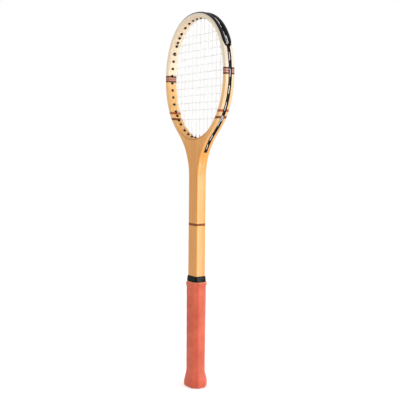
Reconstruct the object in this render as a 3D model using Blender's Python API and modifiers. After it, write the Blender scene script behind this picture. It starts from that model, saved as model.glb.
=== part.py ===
"""A laminated wooden tennis training racket with a small head, strung, with a leather grip.

The racket stands on its butt. +Z runs from the butt end to the tip, X runs across the string
face, and the front face looks along -Y. The origin is the centre of the flat butt end.
"""

import math

import bmesh
import bpy
import numpy as np
from mathutils import Matrix, Vector

MM = 0.001

# Head and frame
OVERALL_LENGTH = 685 * MM
FRAME_DEPTH = 20.8 * MM
OPENING_HALF_WIDTH = 87.3 * MM
OPENING_RISE = 105.9 * MM
OPENING_FALL = 110.4 * MM
RISE_FULLNESS = 2.17
FALL_FULLNESS = 2.0
OUTER_PLY = 3.3 * MM
MIDDLE_PLY = 2.4 * MM
INNER_PLY = 2.3 * MM
GLUE_LINE = 0.15 * MM
SHAFT_WIDTH = 27.6 * MM
THROAT_SLOPE = math.radians(45)
THROAT_RADIUS = 105 * MM
SPLICE_HEIGHT = 304 * MM
WEDGE_TIP = 0.8 * MM

# Strings
STRING_DIAMETER = 1.3 * MM
STRING_GAP = 0.3 * MM
MAINS = 12
CROSSES = 12
THROAT_MAIN_COUNT = 4
LINED_MAIN_COUNT = 2
TIE_CROSS_INDEX = 2
MAIN_PITCH = 12.27 * MM
CROSS_PITCH = 13.44 * MM
SECOND_CROSS_LIFT = 62.1 * MM
FIRST_CROSS_STEP = 14.2 * MM
LAST_CROSS_STEP = 16.7 * MM
END_ROOM = 2 * MM
KNOT_TURNS = 1
KNOT_PITCH = 1.85 * MM
KNOT_LEAD = 1.3 * MM

# Grommets, their groove and the head guard
BORE_CLEARANCE = 0.6 * MM
BARREL_WALL = 0.75 * MM
DRILL_CLEARANCE = 0.38 * MM
BARREL_PROUD = 0.6 * MM
MOUTH_REACH = 1.6 * MM
STRIP_FLOOR = 0.9 * MM
STRIP_WALL = 0.7 * MM
STRIP_FIT = 0.2 * MM
CHANNEL_CLEARANCE = 0.4 * MM
STRIP_TAIL = 6 * MM
PIECE_GAP = 0.4 * MM
THROAT_EXIT_RISE = 3.1 * MM
THROAT_EXIT_STEP = 7.8 * MM
STUB_LENGTH = 5 * MM
GUARD_DROP = 67 * MM
GUARD_HALF_WIDTH = 9.5 * MM
GUARD_RIDGE = 1.9 * MM
GUARD_TAPER = 14 * MM
GUARD_TIP_HALF_WIDTH = 4.4 * MM
GUARD_TIP_RIDGE = 0.9 * MM

# Handle
GRIP_TOP = 197.2 * MM
HANDLE_HALF_WIDTH = 16.2 * MM
HANDLE_HALF_DEPTH = 12.9 * MM
HANDLE_CHAMFER = 7.1 * MM
PALLET_FOOT = 3 * MM
LEATHER_FIT = 0.2 * MM
LEATHER_FOOT = 0.5 * MM
LEATHER_UPPER = 1.9 * MM
LEATHER_WAIST = 1.5 * MM
LEATHER_LOWER = 1.2 * MM
LIP_HEIGHT = 7.2 * MM
LIP_LEATHER = 2.9 * MM
FLARE_TOP = 33 * MM
FLARE_WIDEST = 9 * MM
FLARE_EDGE = 0.5 * MM
FLARE_SPREAD = 3.9 * MM
BUTT_CAP_THICKNESS = 2 * MM
BUTT_FIT = 0.3 * MM

# Fasteners
TACK_HEAD_RADIUS = 2 * MM
TACK_HEAD_THICKNESS = 0.6 * MM
TACK_SHANK_RADIUS = 0.7 * MM
TACK_LENGTH = 9 * MM
TACK_DRILL_CLEARANCE = 0.35 * MM
LOWER_TACK_DROP = 6 * MM
UPPER_TACK_DROP = 4.7 * MM
SCREW_SPACING = 9.6 * MM
SCREW_HEAD_RADIUS = 2.8 * MM
SCREW_HEAD_DEPTH = 1.2 * MM
SCREW_SHANK_RADIUS = 1.4 * MM
SCREW_LENGTH = 16 * MM
SCREW_RECESS = 0.2 * MM

# Sliding rubber collar
COLLAR_HEIGHT = 10.4 * MM
COLLAR_SEAT_GAP = 0.4 * MM
COLLAR_CLEARANCE = 0.2 * MM
COLLAR_TOP_WALL = 0.7 * MM
COLLAR_FOOT_WALL = 1.6 * MM
COLLAR_TOP_ROUNDING = 1.7 * MM
COLLAR_FOOT_ROUNDING = 4 * MM

# Fineness of the faceted curves
CROWN_SEGMENTS = 12
CHEEK_SEGMENTS = 8
THROAT_SEGMENTS = 8
OPENING_FOOT_SEGMENTS = 7
TABLE_SIZE = 1500
HOLE_SIDES = 6
TACK_SIDES = 8
CORNER_POINTS = 4
KNOT_POINTS_PER_TURN = 10
CHANNEL_STEP = 7.5 * MM
OVERCUT = 1 * MM

# Sizes that follow from the ones above
HOOP_WALL = OUTER_PLY + GLUE_LINE + MIDDLE_PLY + GLUE_LINE + INNER_PLY
HEAD_CENTRE = OVERALL_LENGTH - HOOP_WALL - OPENING_RISE
SHAFT_HALF = SHAFT_WIDTH / 2
CORE_HALF = SHAFT_HALF - OUTER_PLY - MIDDLE_PLY - 2 * GLUE_LINE
STRING_RADIUS = STRING_DIAMETER / 2
WEAVE = (STRING_DIAMETER + STRING_GAP) / 2
LANE = STRING_DIAMETER + STRING_GAP
BORE_RADIUS = STRING_RADIUS + BORE_CLEARANCE
TIE_BORE_RADIUS = WEAVE + STRING_RADIUS + BORE_CLEARANCE
CHANNEL_DEPTH = STRING_DIAMETER + STRING_GAP
CHANNEL_HALF = LANE + STRING_RADIUS + CHANNEL_CLEARANCE
STRIP_HALF = CHANNEL_HALF + STRIP_WALL
STRIP_DEPTH = CHANNEL_DEPTH + STRIP_FLOOR
GROOVE_DEPTH = STRIP_DEPTH + STRIP_FIT
GROOVE_HALF = STRIP_HALF + STRIP_FIT
WOOD_FOOT = BUTT_CAP_THICKNESS + BUTT_FIT
COLLAR_SEAT = GRIP_TOP + COLLAR_SEAT_GAP
TACK_HEIGHTS = (FLARE_TOP - LOWER_TACK_DROP, GRIP_TOP - UPPER_TACK_DROP)
TIE_TOP_INDEX = MAINS - 2
TIE_FOOT_INDEX = MAINS - 1


# Scene and materials

def clear_scene():
    for item in list(bpy.data.objects):
        bpy.data.objects.remove(item, do_unlink=True)


def new_collection(name):
    collection = bpy.data.collections.new(name)
    bpy.context.scene.collection.children.link(collection)
    return collection


def new_material(name, colour, roughness, metallic=0.0):
    material = bpy.data.materials.new(name)
    material.use_nodes = True
    shader = material.node_tree.nodes["Principled BSDF"]
    shader.inputs["Base Color"].default_value = (*colour, 1.0)
    shader.inputs["Roughness"].default_value = roughness
    shader.inputs["Metallic"].default_value = metallic
    material.diffuse_color = (*colour, 1.0)
    return material


clear_scene()
PARTS = new_collection("tennis_training_racket")
CUTTERS = new_collection("cutters")
ASH = new_material("lacquered_ash", (0.62, 0.36, 0.13), 0.32)
BEECH = new_material("lacquered_beech", (0.55, 0.29, 0.1), 0.34)
RAW_WOOD = new_material("handle_wood", (0.5, 0.33, 0.17), 0.6)
BLACK_PLASTIC = new_material("black_plastic", (0.012, 0.011, 0.013), 0.35)
BLACK_RUBBER = new_material("black_rubber", (0.016, 0.015, 0.016), 0.5)
LEATHER = new_material("terracotta_leather", (0.68, 0.15, 0.075), 0.55)
NYLON = new_material("white_nylon", (0.85, 0.85, 0.82), 0.25)
STEEL = new_material("nickelled_steel", (0.55, 0.54, 0.52), 0.3, 1.0)


# Mesh helpers

def add_object(name, data, material, collection):
    thing = bpy.data.objects.new(name, data)
    collection.objects.link(thing)
    if material:
        data.materials.clear()
        data.materials.append(material)
    return thing


def as_cutter(thing):
    thing.hide_render = True
    thing.display_type = "WIRE"
    return thing


def finish_bmesh(name, shape, material, collection):
    bmesh.ops.recalc_face_normals(shape, faces=shape.faces)
    mesh = bpy.data.meshes.new(name)
    shape.to_mesh(mesh)
    shape.free()
    return add_object(name, mesh, material, collection)


def flat_solid(name, loops, thickness, material=None, upright=True):
    """A flat outline of one or more loops, thickened evenly both ways; upright stands it in XZ."""
    curve = bpy.data.curves.new(name, "CURVE")
    curve.dimensions = "2D"
    curve.fill_mode = "BOTH"
    curve.extrude = thickness / 2
    for loop in loops:
        spline = curve.splines.new("POLY")
        spline.points.add(len(loop) - 1)
        for point, (u, v) in zip(spline.points, loop):
            point.co = (u, v, 0, 1)
        spline.use_cyclic_u = True
    guide = bpy.data.objects.new(name, curve)
    CUTTERS.objects.link(guide)
    if upright:
        guide.rotation_euler = (math.pi / 2, 0, 0)
    bpy.context.view_layer.update()
    graph = bpy.context.evaluated_depsgraph_get()
    mesh = bpy.data.meshes.new_from_object(guide.evaluated_get(graph))
    place = guide.matrix_world.copy()
    bpy.data.objects.remove(guide, do_unlink=True)
    shape = bmesh.new()
    shape.from_mesh(mesh)
    bpy.data.meshes.remove(mesh)
    bmesh.ops.remove_doubles(shape, verts=shape.verts, dist=1e-6)
    solid = finish_bmesh(name, shape, material, PARTS if material else CUTTERS)
    solid.matrix_world = place
    return solid if material else as_cutter(solid)


def prisms(name, rods, sides=HOLE_SIDES):
    """Straight rods (start, end, radius) joined into one cutter."""
    shape = bmesh.new()
    for start, end, radius in rods:
        run = end - start
        turn = run.to_track_quat("Z", "Y").to_matrix().to_4x4()
        place = Matrix.Translation((start + end) / 2) @ turn
        bmesh.ops.create_cone(
            shape, cap_ends=True, segments=sides, radius1=radius, radius2=radius,
            depth=run.length, matrix=place)
    return as_cutter(finish_bmesh(name, shape, None, CUTTERS))


def turned(name, profile, sides, material, place):
    """A solid of revolution about its own Z, from an outer profile (radius, height), top first."""
    mesh = bpy.data.meshes.new(name)
    points = [(radius, 0, height) for radius, height in profile]
    edges = [(index, index + 1) for index in range(len(points) - 1)]
    mesh.from_pydata(points, edges, [])
    solid = add_object(name, mesh, material, PARTS)
    screw = solid.modifiers.new("turn", "SCREW")
    screw.steps = sides
    screw.render_steps = sides
    screw.use_merge_vertices = True
    screw.merge_threshold = 0.00001
    screw.use_smooth_shade = False
    solid.matrix_world = place
    return solid


def loft(name, sections, material, hollow=False):
    """Skins closed sections of equal point count; a hollow loft joins its last section to its first."""
    shape = bmesh.new()
    rings = [[shape.verts.new(point) for point in section] for section in sections]
    pairs = list(zip(rings, rings[1:]))
    if hollow:
        pairs.append((rings[-1], rings[0]))
    else:
        shape.faces.new(rings[0])
        shape.faces.new(rings[-1])
    for lower, upper in pairs:
        for index in range(len(lower)):
            after = (index + 1) % len(lower)
            shape.faces.new((lower[index], lower[after], upper[after], upper[index]))
    return finish_bmesh(name, shape, material, PARTS)


def combine(solid, other, operation="DIFFERENCE"):
    modifier = solid.modifiers.new(other.name, "BOOLEAN")
    modifier.operation = operation
    modifier.solver = "EXACT"
    modifier.object = other


def round_shaded(solid):
    solid.data.shade_smooth()
    solid.data.set_sharp_from_angle(angle=math.radians(40))


# Opening of the head: a superellipse with its own fullness above and below the widest level

def opening(theta):
    """Points (x, z) and outward normals of the opening's right half, theta from -90 to 90 degrees."""
    theta = np.asarray(theta, float)
    cosine = np.abs(np.cos(theta))
    sine = np.sin(theta)
    height = np.where(sine >= 0, OPENING_RISE, OPENING_FALL)
    fullness = np.where(sine >= 0, RISE_FULLNESS, FALL_FULLNESS)
    x = OPENING_HALF_WIDTH * cosine ** (2 / fullness)
    z = height * np.sign(sine) * np.abs(sine) ** (2 / fullness)
    slope_x = (x / OPENING_HALF_WIDTH) ** (fullness - 1) / OPENING_HALF_WIDTH
    slope_z = np.sign(z) * (np.abs(z) / height) ** (fullness - 1) / height
    size = np.hypot(slope_x, slope_z)
    return x, HEAD_CENTRE + z, slope_x / size, slope_z / size


def opening_offset(theta, distance):
    x, z, normal_x, normal_z = opening(theta)
    return x + distance * normal_x, z + distance * normal_z


def leaving_angle():
    """The angle where the hoop's side has turned to the slope of the throat."""
    low, high = -math.pi / 2, 0.0
    for _ in range(60):
        middle = (low + high) / 2
        if -opening(middle)[3] > math.sin(THROAT_SLOPE):
            low = middle
        else:
            high = middle
    return (low + high) / 2


# Rail: the outer edge of the right side, from the tip over the hoop and the throat down the shaft

LEAVE = leaving_angle()


def build_rail():
    """Tables of length, x, z and outward normal along the rail, and the lengths where it changes."""
    theta = np.linspace(math.pi / 2, LEAVE, TABLE_SIZE)
    normal_x, normal_z = opening(theta)[2:]
    x, z = opening_offset(theta, HOOP_WALL)
    joint_x = SHAFT_HALF + THROAT_RADIUS * (1 - math.cos(THROAT_SLOPE))
    joint_z = z[-1] - (x[-1] - joint_x) / math.tan(THROAT_SLOPE)
    foot_z = joint_z - THROAT_RADIUS * math.sin(THROAT_SLOPE)
    turn = np.linspace(THROAT_SLOPE, 0, TABLE_SIZE)
    bend_x = SHAFT_HALF + THROAT_RADIUS * (1 - np.cos(turn))
    bend_z = foot_z + THROAT_RADIUS * np.sin(turn)
    x = np.concatenate([x, bend_x, [SHAFT_HALF]])
    z = np.concatenate([z, bend_z, [WOOD_FOOT]])
    normal_x = np.concatenate([normal_x, np.cos(turn), [1]])
    normal_z = np.concatenate([normal_z, -np.sin(turn), [0]])
    length = np.concatenate([[0], np.cumsum(np.hypot(np.diff(x), np.diff(z)))])
    marks = (length[TABLE_SIZE - 1], length[TABLE_SIZE], length[-2], length[-1])
    return (length, x, z, normal_x, normal_z), marks


RAIL, (RAIL_LEAVE, RAIL_BEND, RAIL_FOOT, RAIL_END) = build_rail()


def rail(length, depth=0.0):
    """Point (x, z) at a length along the rail, sunk by depth; a negative length is on the left."""
    size = abs(length)
    x, z, normal_x, normal_z = (np.interp(size, RAIL[0], column) for column in RAIL[1:])
    scale = math.hypot(normal_x, normal_z)
    x = x - depth * normal_x / scale
    z = z - depth * normal_z / scale
    return (-x if length < 0 else x), z


def rail_length_at(height):
    """The length along the rail where it has come down to a height."""
    return float(np.interp(-height, -RAIL[2], RAIL[0]))


RAIL_WIDEST = float(RAIL[0][int(np.argmax(RAIL[1]))])
CROWN_STATIONS = list(np.linspace(0, RAIL_WIDEST, CROWN_SEGMENTS + 1))
CHEEK_STATIONS = list(np.linspace(RAIL_WIDEST, RAIL_LEAVE, CHEEK_SEGMENTS + 1))
HOOP_STATIONS = CROWN_STATIONS + CHEEK_STATIONS[1:]
BEND_STATIONS = list(np.linspace(RAIL_BEND, RAIL_FOOT, THROAT_SEGMENTS + 1))
STATIONS = HOOP_STATIONS + BEND_STATIONS + [RAIL_END]


def stations_between(first, last):
    """The two ends and every regular station between them, also across the tip."""
    regular = [-station for station in reversed(STATIONS[1:])] + STATIONS
    inside = [station for station in regular if first + 1e-6 < station < last - 1e-6]
    return [first] + inside + [last]


def rail_section(length, corners):
    """Points of a cross-section on the rail, from corners given as (across, depth)."""
    section = []
    for across, depth in corners:
        x, z = rail(length, depth)
        section.append((x, across, z))
    return section


def rail_loft(name, first, last, corners, material):
    """One cross-section carried along the rail."""
    spots = stations_between(first, last)
    return loft(name, [rail_section(spot, corners) for spot in spots], material)


# Holes through the frame

class Hole:
    """A string hole: its mouth inside the opening, its exit on the rail, and what it carries."""

    def __init__(self, mouth, exit_length, tie_side=0):
        self.length = exit_length
        self.mouth = Vector((mouth[0], 0, mouth[1]))
        x, z = rail(exit_length)
        self.exit = Vector((x, 0, z))
        self.axis = (self.exit - self.mouth).normalized()
        normal_x = np.interp(abs(exit_length), RAIL[0], RAIL[3])
        normal_z = np.interp(abs(exit_length), RAIL[0], RAIL[4])
        side = -1 if exit_length < 0 else 1
        self.lean = self.axis.x * normal_x * side + self.axis.z * normal_z
        self.tie_side = tie_side

    def bore(self):
        return TIE_BORE_RADIUS if self.tie_side else BORE_RADIUS

    def barrel(self):
        return self.bore() + BARREL_WALL

    def drill(self):
        return self.barrel() + DRILL_CLEARANCE

    def below_rail(self, depth):
        """The point on the axis at a depth under the rail."""
        return self.exit - self.axis * (depth / self.lean)

    def inner_end(self):
        """Where the barrel ends, a little proud of the wood."""
        return self.mouth + self.axis * (MOUTH_REACH - BARREL_PROUD)


HALF_TURN = np.linspace(-math.pi / 2, math.pi / 2, TABLE_SIZE)
INSET_X, INSET_Z = opening_offset(HALF_TURN, -MOUTH_REACH)


def ray_exit(theta):
    """Length along the rail where the opening's normal at theta comes out."""
    x, z, normal_x, normal_z = (float(value) for value in opening(theta))
    across = (RAIL[1] - x) * normal_z - (RAIL[2] - z) * normal_x
    along = (RAIL[1] - x) * normal_x + (RAIL[2] - z) * normal_z
    miss = np.where(along > 0, np.abs(across), 1.0)
    return float(RAIL[0][int(np.argmin(miss))])


def hole_at(theta, side, tie_side=0):
    x, z = opening_offset(theta, -MOUTH_REACH)
    return Hole((side * float(x), float(z)), side * ray_exit(theta), tie_side)


def main_x(index):
    return (index - (MAINS - 1) / 2) * MAIN_PITCH


def cross_z(index):
    second = HEAD_CENTRE + SECOND_CROSS_LIFT
    if index == 0:
        return second + FIRST_CROSS_STEP
    if index == CROSSES - 1:
        return second - (CROSSES - 3) * CROSS_PITCH - LAST_CROSS_STEP
    return second - (index - 1) * CROSS_PITCH


def main_theta(index, top):
    """Angle on the opening's edge whose mouth lies on the main string."""
    half = TABLE_SIZE // 2
    if top:
        return float(np.interp(-abs(main_x(index)), -INSET_X[half:], HALF_TURN[half:]))
    return float(np.interp(abs(main_x(index)), INSET_X[:half], HALF_TURN[:half]))


def cross_theta(index):
    return float(np.interp(cross_z(index), INSET_Z, HALF_TURN))


def parity(main, cross):
    return 1 if (main + cross) % 2 == 0 else -1




def make_main_foot(index):
    """The mains nearest the middle leave through the throat's flanks, at even heights."""
    side = -1 if main_x(index) < 0 else 1
    rank = index if index >= MAINS // 2 else MAINS - 1 - index
    tie_side = -parity(MAINS - 1, CROSSES - 2) if index == TIE_FOOT_INDEX else 0
    place = rank - MAINS // 2
    if place >= THROAT_MAIN_COUNT:
        return hole_at(main_theta(index, False), side, tie_side)
    below = (THROAT_MAIN_COUNT - 1 - place) * THROAT_EXIT_STEP
    length = rail_length_at(HEAD_CENTRE - OPENING_FALL + THROAT_EXIT_RISE - below)
    theta = main_theta(index, False)
    mouth = (main_x(index), float(opening_offset(theta, -MOUTH_REACH)[1]))
    return Hole(mouth, side * length, tie_side)


def make_main_top(index):
    side = -1 if main_x(index) < 0 else 1
    tie_side = -parity(index, 0) if index == TIE_TOP_INDEX else 0
    return hole_at(main_theta(index, True), side, tie_side)


def make_cross_end(index, side):
    nearest = 0 if side < 0 else MAINS - 1
    tie_side = parity(nearest, index) if index == TIE_CROSS_INDEX else 0
    return hole_at(cross_theta(index), side, tie_side)


MAIN_TOPS = [make_main_top(index) for index in range(MAINS)]
MAIN_FEET = [make_main_foot(index) for index in range(MAINS)]
CROSS_LEFTS = [make_cross_end(index, -1) for index in range(CROSSES)]
CROSS_RIGHTS = [make_cross_end(index, 1) for index in range(CROSSES)]
ALL_HOLES = MAIN_TOPS + MAIN_FEET + CROSS_LEFTS + CROSS_RIGHTS
# The long holes of the innermost mains are lined by separate tubes
LINED_HOLES = MAIN_FEET[MAINS // 2 - LINED_MAIN_COUNT:MAINS // 2 + LINED_MAIN_COUNT]
GUARD_END = rail_length_at(OVERALL_LENGTH - GUARD_DROP)
STRIP_END = abs(MAIN_FEET[MAINS // 2].length) + STRIP_TAIL


# Laminated frame

def drill_rods():
    return [(hole.mouth, hole.exit + hole.axis * OVERCUT, hole.drill()) for hole in ALL_HOLES]


def box_section(half, outer, inner):
    return [(-half, outer), (half, outer), (half, inner), (-half, inner)]


def make_outer_ply(name, material):
    """The outermost ply, up one flank, round the head and down the other, grooved for the strips."""
    half = FRAME_DEPTH / 2
    end = STRIP_END + PIECE_GAP
    plain = box_section(half, 0, OUTER_PLY)
    groove = box_section(GROOVE_HALF, 0, GROOVE_DEPTH)
    grooved = [plain[0], groove[0], groove[3], groove[2], groove[1]] + plain[1:]
    shape = bmesh.new()
    rings = []
    for spot in stations_between(-RAIL_END, RAIL_END):
        if any(abs(spot + sign * end) < STRIP_FIT for sign in (-1, 1)):
            continue
        if rings and abs(rings[-1][0]) > end > abs(spot):
            rings.append((-end, grooved))
        if rings and abs(rings[-1][0]) < end < abs(spot):
            rings.append((end, grooved))
        rings.append((spot, grooved if abs(spot) < end else plain))
    rings = [[shape.verts.new(co) for co in rail_section(*ring)] for ring in rings]
    for lower, upper in zip(rings, rings[1:]):
        if len(lower) == len(upper):
            for index in range(len(lower)):
                after = (index + 1) % len(lower)
                shape.faces.new((lower[index], lower[after], upper[after], upper[index]))
            continue
        few, many = sorted((lower, upper), key=len)
        shape.faces.new((few[1], few[0], many[0], many[1], many[4], many[5]))
        shape.faces.new(many[1:5])
        for index in range(1, 4):
            after = (index + 1) % 4
            wide = (many[index + 4], many[(index + 5) % 8])
            shape.faces.new((few[index], few[after], wide[1], wide[0]))
    shape.faces.new(rings[0])
    shape.faces.new(rings[-1])
    return finish_bmesh(name, shape, material, PARTS)


def opening_loop(distance):
    """Closed loop round the opening, with the rail's own stations where the hoop follows it."""
    table = np.linspace(math.pi / 2, LEAVE, TABLE_SIZE)
    upper = np.interp(HOOP_STATIONS, RAIL[0][:TABLE_SIZE], table)
    lower = np.linspace(LEAVE, -math.pi / 2, OPENING_FOOT_SEGMENTS + 1)[1:]
    x, z = opening_offset(np.concatenate([upper, lower]), distance)
    right = list(zip(x, z))
    return right + [(-x, z) for x, z in reversed(right[1:-1])]


def wedge_outline():
    """The throat wedge: under the hoop's foot, between the side plies, down to the splice."""
    depth = SHAFT_HALF - CORE_HALF
    seat = INNER_PLY + GLUE_LINE
    spots = np.linspace(RAIL_LEAVE, RAIL_FOOT, TABLE_SIZE)
    flank = np.array([rail(spot, depth) for spot in spots])
    theta = np.linspace(LEAVE, -math.pi / 2, TABLE_SIZE)
    top = np.stack(opening_offset(theta, seat), axis=1)
    room = np.array([np.hypot(*(top - point).T).min() for point in flank])
    opened = (room >= WEDGE_TIP) & (spots > RAIL_LEAVE + WEDGE_TIP)
    tip_spot = float(spots[np.argmax(opened)])
    tip = np.array(rail(tip_spot, depth))
    tip_theta = float(theta[np.argmin(np.hypot(*(top - tip).T))])
    foot_angles = np.linspace(LEAVE, -math.pi / 2, OPENING_FOOT_SEGMENTS + 1)
    below = [angle for angle in foot_angles if angle < tip_theta - 1e-4]
    seat_points = [opening_offset(angle, seat) for angle in [tip_theta] + below]
    flank_spots = [tip_spot] + [spot for spot in BEND_STATIONS if spot > tip_spot + 1e-5]
    flank_points = [rail(spot, depth) for spot in flank_spots]
    right = [(float(x), float(z)) for x, z in reversed(seat_points)] + flank_points
    right.append((CORE_HALF, SPLICE_HEIGHT + GLUE_LINE))
    left = [(-x, z) for x, z in reversed(right)]
    return right + left[:-1]


def make_frame(drills):
    middle = OUTER_PLY + GLUE_LINE
    outer_ply = make_outer_ply("hoop_outer_ply", ASH)
    combine(outer_ply, planing_cutter())
    combine(outer_ply, drills)
    section = box_section(FRAME_DEPTH / 2, middle, middle + MIDDLE_PLY)
    middle_ply = rail_loft("hoop_middle_ply", -RAIL_END, RAIL_END, section, BEECH)
    combine(middle_ply, drills)
    loops = [opening_loop(INNER_PLY), opening_loop(0)]
    inner_ply = flat_solid("hoop_inner_ply", loops, FRAME_DEPTH, ASH)
    combine(inner_ply, drills)
    wedge = flat_solid("throat_wedge", [wedge_outline()], FRAME_DEPTH, BEECH)
    combine(wedge, drills)


def planing_cutter():
    """Takes the frame's corners down to the handle's octagon, from the butt up to the grip's top."""
    shape = bmesh.new()
    reach = (HANDLE_HALF_WIDTH + HANDLE_HALF_DEPTH - HANDLE_CHAMFER - GLUE_LINE) / math.sqrt(2)
    height = GRIP_TOP + OVERCUT
    width = SHAFT_WIDTH
    for quarter in range(4):
        turn = Matrix.Rotation(math.pi / 4 + quarter * math.pi / 2, 4, "Z")
        place = turn @ Matrix.Translation((reach + width / 2, 0, height / 2 - OVERCUT / 2))
        size = Matrix.Diagonal((width, width, height + OVERCUT, 1))
        bmesh.ops.create_cube(shape, size=1, matrix=place @ size)
    return as_cutter(finish_bmesh("planing_cutter", shape, None, CUTTERS))


# Handle

def octagon(half_width, half_depth, chamfer, height):
    """Eight corners of a chamfered rectangle at a height, anticlockwise from the front right."""
    corners = []
    for sign_x, sign_y in ((1, -1), (1, 1), (-1, 1), (-1, -1)):
        flat = (sign_x * (half_width - chamfer), sign_y * half_depth, height)
        flank = (sign_x * half_width, sign_y * (half_depth - chamfer), height)
        corners += [flat, flank] if sign_x * sign_y < 0 else [flank, flat]
    return corners


def handle_octagon(growth, height):
    """The handle's octagon with every side moved out by growth."""
    chamfer = HANDLE_CHAMFER + growth * (2 - math.sqrt(2))
    return octagon(HANDLE_HALF_WIDTH + growth, HANDLE_HALF_DEPTH + growth, chamfer, height)


def make_core(screw_holes, tack_holes):
    height = SPLICE_HEIGHT - WOOD_FOOT
    shape = bmesh.new()
    place = Matrix.Translation((0, 0, WOOD_FOOT + height / 2))
    size = Matrix.Diagonal((2 * CORE_HALF, FRAME_DEPTH, height, 1))
    bmesh.ops.create_cube(shape, size=1, matrix=place @ size)
    core = finish_bmesh("shaft_core", shape, BEECH, PARTS)
    combine(core, screw_holes)
    combine(core, tack_holes)


def make_pallets(tack_holes):
    """Four boards that build the shaft out to the octagon of the handle."""
    diagonal = HANDLE_HALF_WIDTH + HANDLE_HALF_DEPTH - HANDLE_CHAMFER
    seat_y = FRAME_DEPTH / 2 + GLUE_LINE
    seat_x = SHAFT_HALF + GLUE_LINE
    height = GRIP_TOP - PALLET_FOOT
    face = [(diagonal - seat_y, seat_y), (diagonal - HANDLE_HALF_DEPTH, HANDLE_HALF_DEPTH)]
    face += [(-x, y) for x, y in reversed(face)]
    flank = [(HANDLE_HALF_WIDTH, diagonal - HANDLE_HALF_WIDTH), (seat_x, diagonal - seat_x)]
    flank += [(x, -y) for x, y in reversed(flank)]
    boards = {
        "pallet_back": face,
        "pallet_front": [(-x, -y) for x, y in face],
        "pallet_right": flank,
        "pallet_left": [(-x, -y) for x, y in flank],
    }
    for name, outline in boards.items():
        board = flat_solid(name, [outline], height, RAW_WOOD, upright=False)
        board.location.z = PALLET_FOOT + height / 2
        if name == "pallet_back":
            combine(board, tack_holes)


def flare_growth(height):
    """How far the butt's flare stands out at a height: an S-curve down to its widest, then rounded in."""
    if height >= FLARE_WIDEST:
        share = (FLARE_TOP - height) / (FLARE_TOP - FLARE_WIDEST)
        return FLARE_EDGE + (FLARE_SPREAD - FLARE_EDGE) * share ** 2 * (3 - 2 * share)
    share = (FLARE_WIDEST - height) / (FLARE_WIDEST - PALLET_FOOT)
    return FLARE_SPREAD * (1 - 0.62 * share ** 2.4)


FLARE_LEVELS = 6


def flare_heights():
    lower = np.linspace(PALLET_FOOT, FLARE_WIDEST, FLARE_LEVELS // 2 + 1)
    upper = np.linspace(FLARE_WIDEST, FLARE_TOP, FLARE_LEVELS // 2 + 1)
    return list(lower) + list(upper[1:])


def make_butt(screw_holes, screw_seats, tack_holes):
    heights = flare_heights()
    outside = [handle_octagon(flare_growth(height), height) for height in heights]
    inside = [handle_octagon(GLUE_LINE, height) for height in (FLARE_TOP, PALLET_FOOT)]
    flare = loft("butt_flare", outside + inside, RAW_WOOD, hollow=True)
    combine(flare, tack_holes)
    growth = flare_growth(PALLET_FOOT)
    outline = [(x, y) for x, y, _ in handle_octagon(growth, 0)]
    cap = flat_solid("butt_cap", [outline], BUTT_CAP_THICKNESS, BLACK_PLASTIC, upright=False)
    cap.location.z = BUTT_CAP_THICKNESS / 2
    combine(cap, screw_holes)
    combine(cap, screw_seats)


def leather_growth(height):
    """Outside of the leather over the bare handle, thinnest at the waist of the grip."""
    lip_foot = GRIP_TOP - LIP_HEIGHT
    levels = (FLARE_TOP, (FLARE_TOP + lip_foot) / 2, lip_foot)
    thickness = np.interp(height, levels, (LEATHER_LOWER, LEATHER_WAIST, LEATHER_UPPER))
    return LEATHER_FIT + float(thickness)


def make_grip(tack_holes):
    """The wound leather as one sleeve: round the butt cap, over the flare, up the handle, to its lip."""
    lip_foot = GRIP_TOP - LIP_HEIGHT
    edge = FLARE_EDGE * 0.5
    foot = flare_growth(PALLET_FOOT) + LEATHER_FIT
    outside = [handle_octagon(foot + edge, LEATHER_FOOT)]
    for height in flare_heights()[:-1]:
        growth = flare_growth(height) + LEATHER_FIT + LEATHER_LOWER
        outside.append(handle_octagon(growth, height))
    start = FLARE_TOP + 2 * LEATHER_UPPER
    for height in (start, (FLARE_TOP + lip_foot) / 2, lip_foot):
        outside.append(handle_octagon(leather_growth(height), height))
    outside.append(handle_octagon(LEATHER_FIT + LIP_LEATHER, lip_foot + edge))
    outside.append(handle_octagon(LEATHER_FIT + LIP_LEATHER, GRIP_TOP - edge))
    outside.append(handle_octagon(LEATHER_FIT + LEATHER_UPPER, GRIP_TOP))
    inside = [handle_octagon(LEATHER_FIT, height) for height in (GRIP_TOP, FLARE_TOP + edge)]
    for height in reversed(flare_heights()):
        inside.append(handle_octagon(flare_growth(height) + LEATHER_FIT, height))
    inside.append(handle_octagon(foot, LEATHER_FOOT))
    grip = loft("grip_wrap", outside + inside, LEATHER, hollow=True)
    combine(grip, tack_holes)


# Fasteners

def tack_seats():
    """Where each tack's head rests, on the back of the leather."""
    seats = []
    for height in TACK_HEIGHTS:
        if height < FLARE_TOP:
            growth = flare_growth(height) + LEATHER_FIT + LEATHER_LOWER
        else:
            growth = LEATHER_FIT + LIP_LEATHER
        seats.append(Vector((0, HANDLE_HALF_DEPTH + growth + 2 * LEATHER_FIT, height)))
    return seats


def make_tacks():
    names = ("grip_tack_lower", "grip_tack_upper")
    profile = [
        (0, TACK_HEAD_THICKNESS),
        (TACK_HEAD_RADIUS * 0.6, TACK_HEAD_THICKNESS),
        (TACK_HEAD_RADIUS, 0),
        (TACK_SHANK_RADIUS, 0),
        (TACK_SHANK_RADIUS, -TACK_LENGTH * 0.8),
        (0, -TACK_LENGTH),
    ]
    for name, seat in zip(names, tack_seats()):
        place = Matrix.Translation(seat) @ Matrix.Rotation(-math.pi / 2, 4, "X")
        turned(name, profile, TACK_SIDES, STEEL, place)


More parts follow.
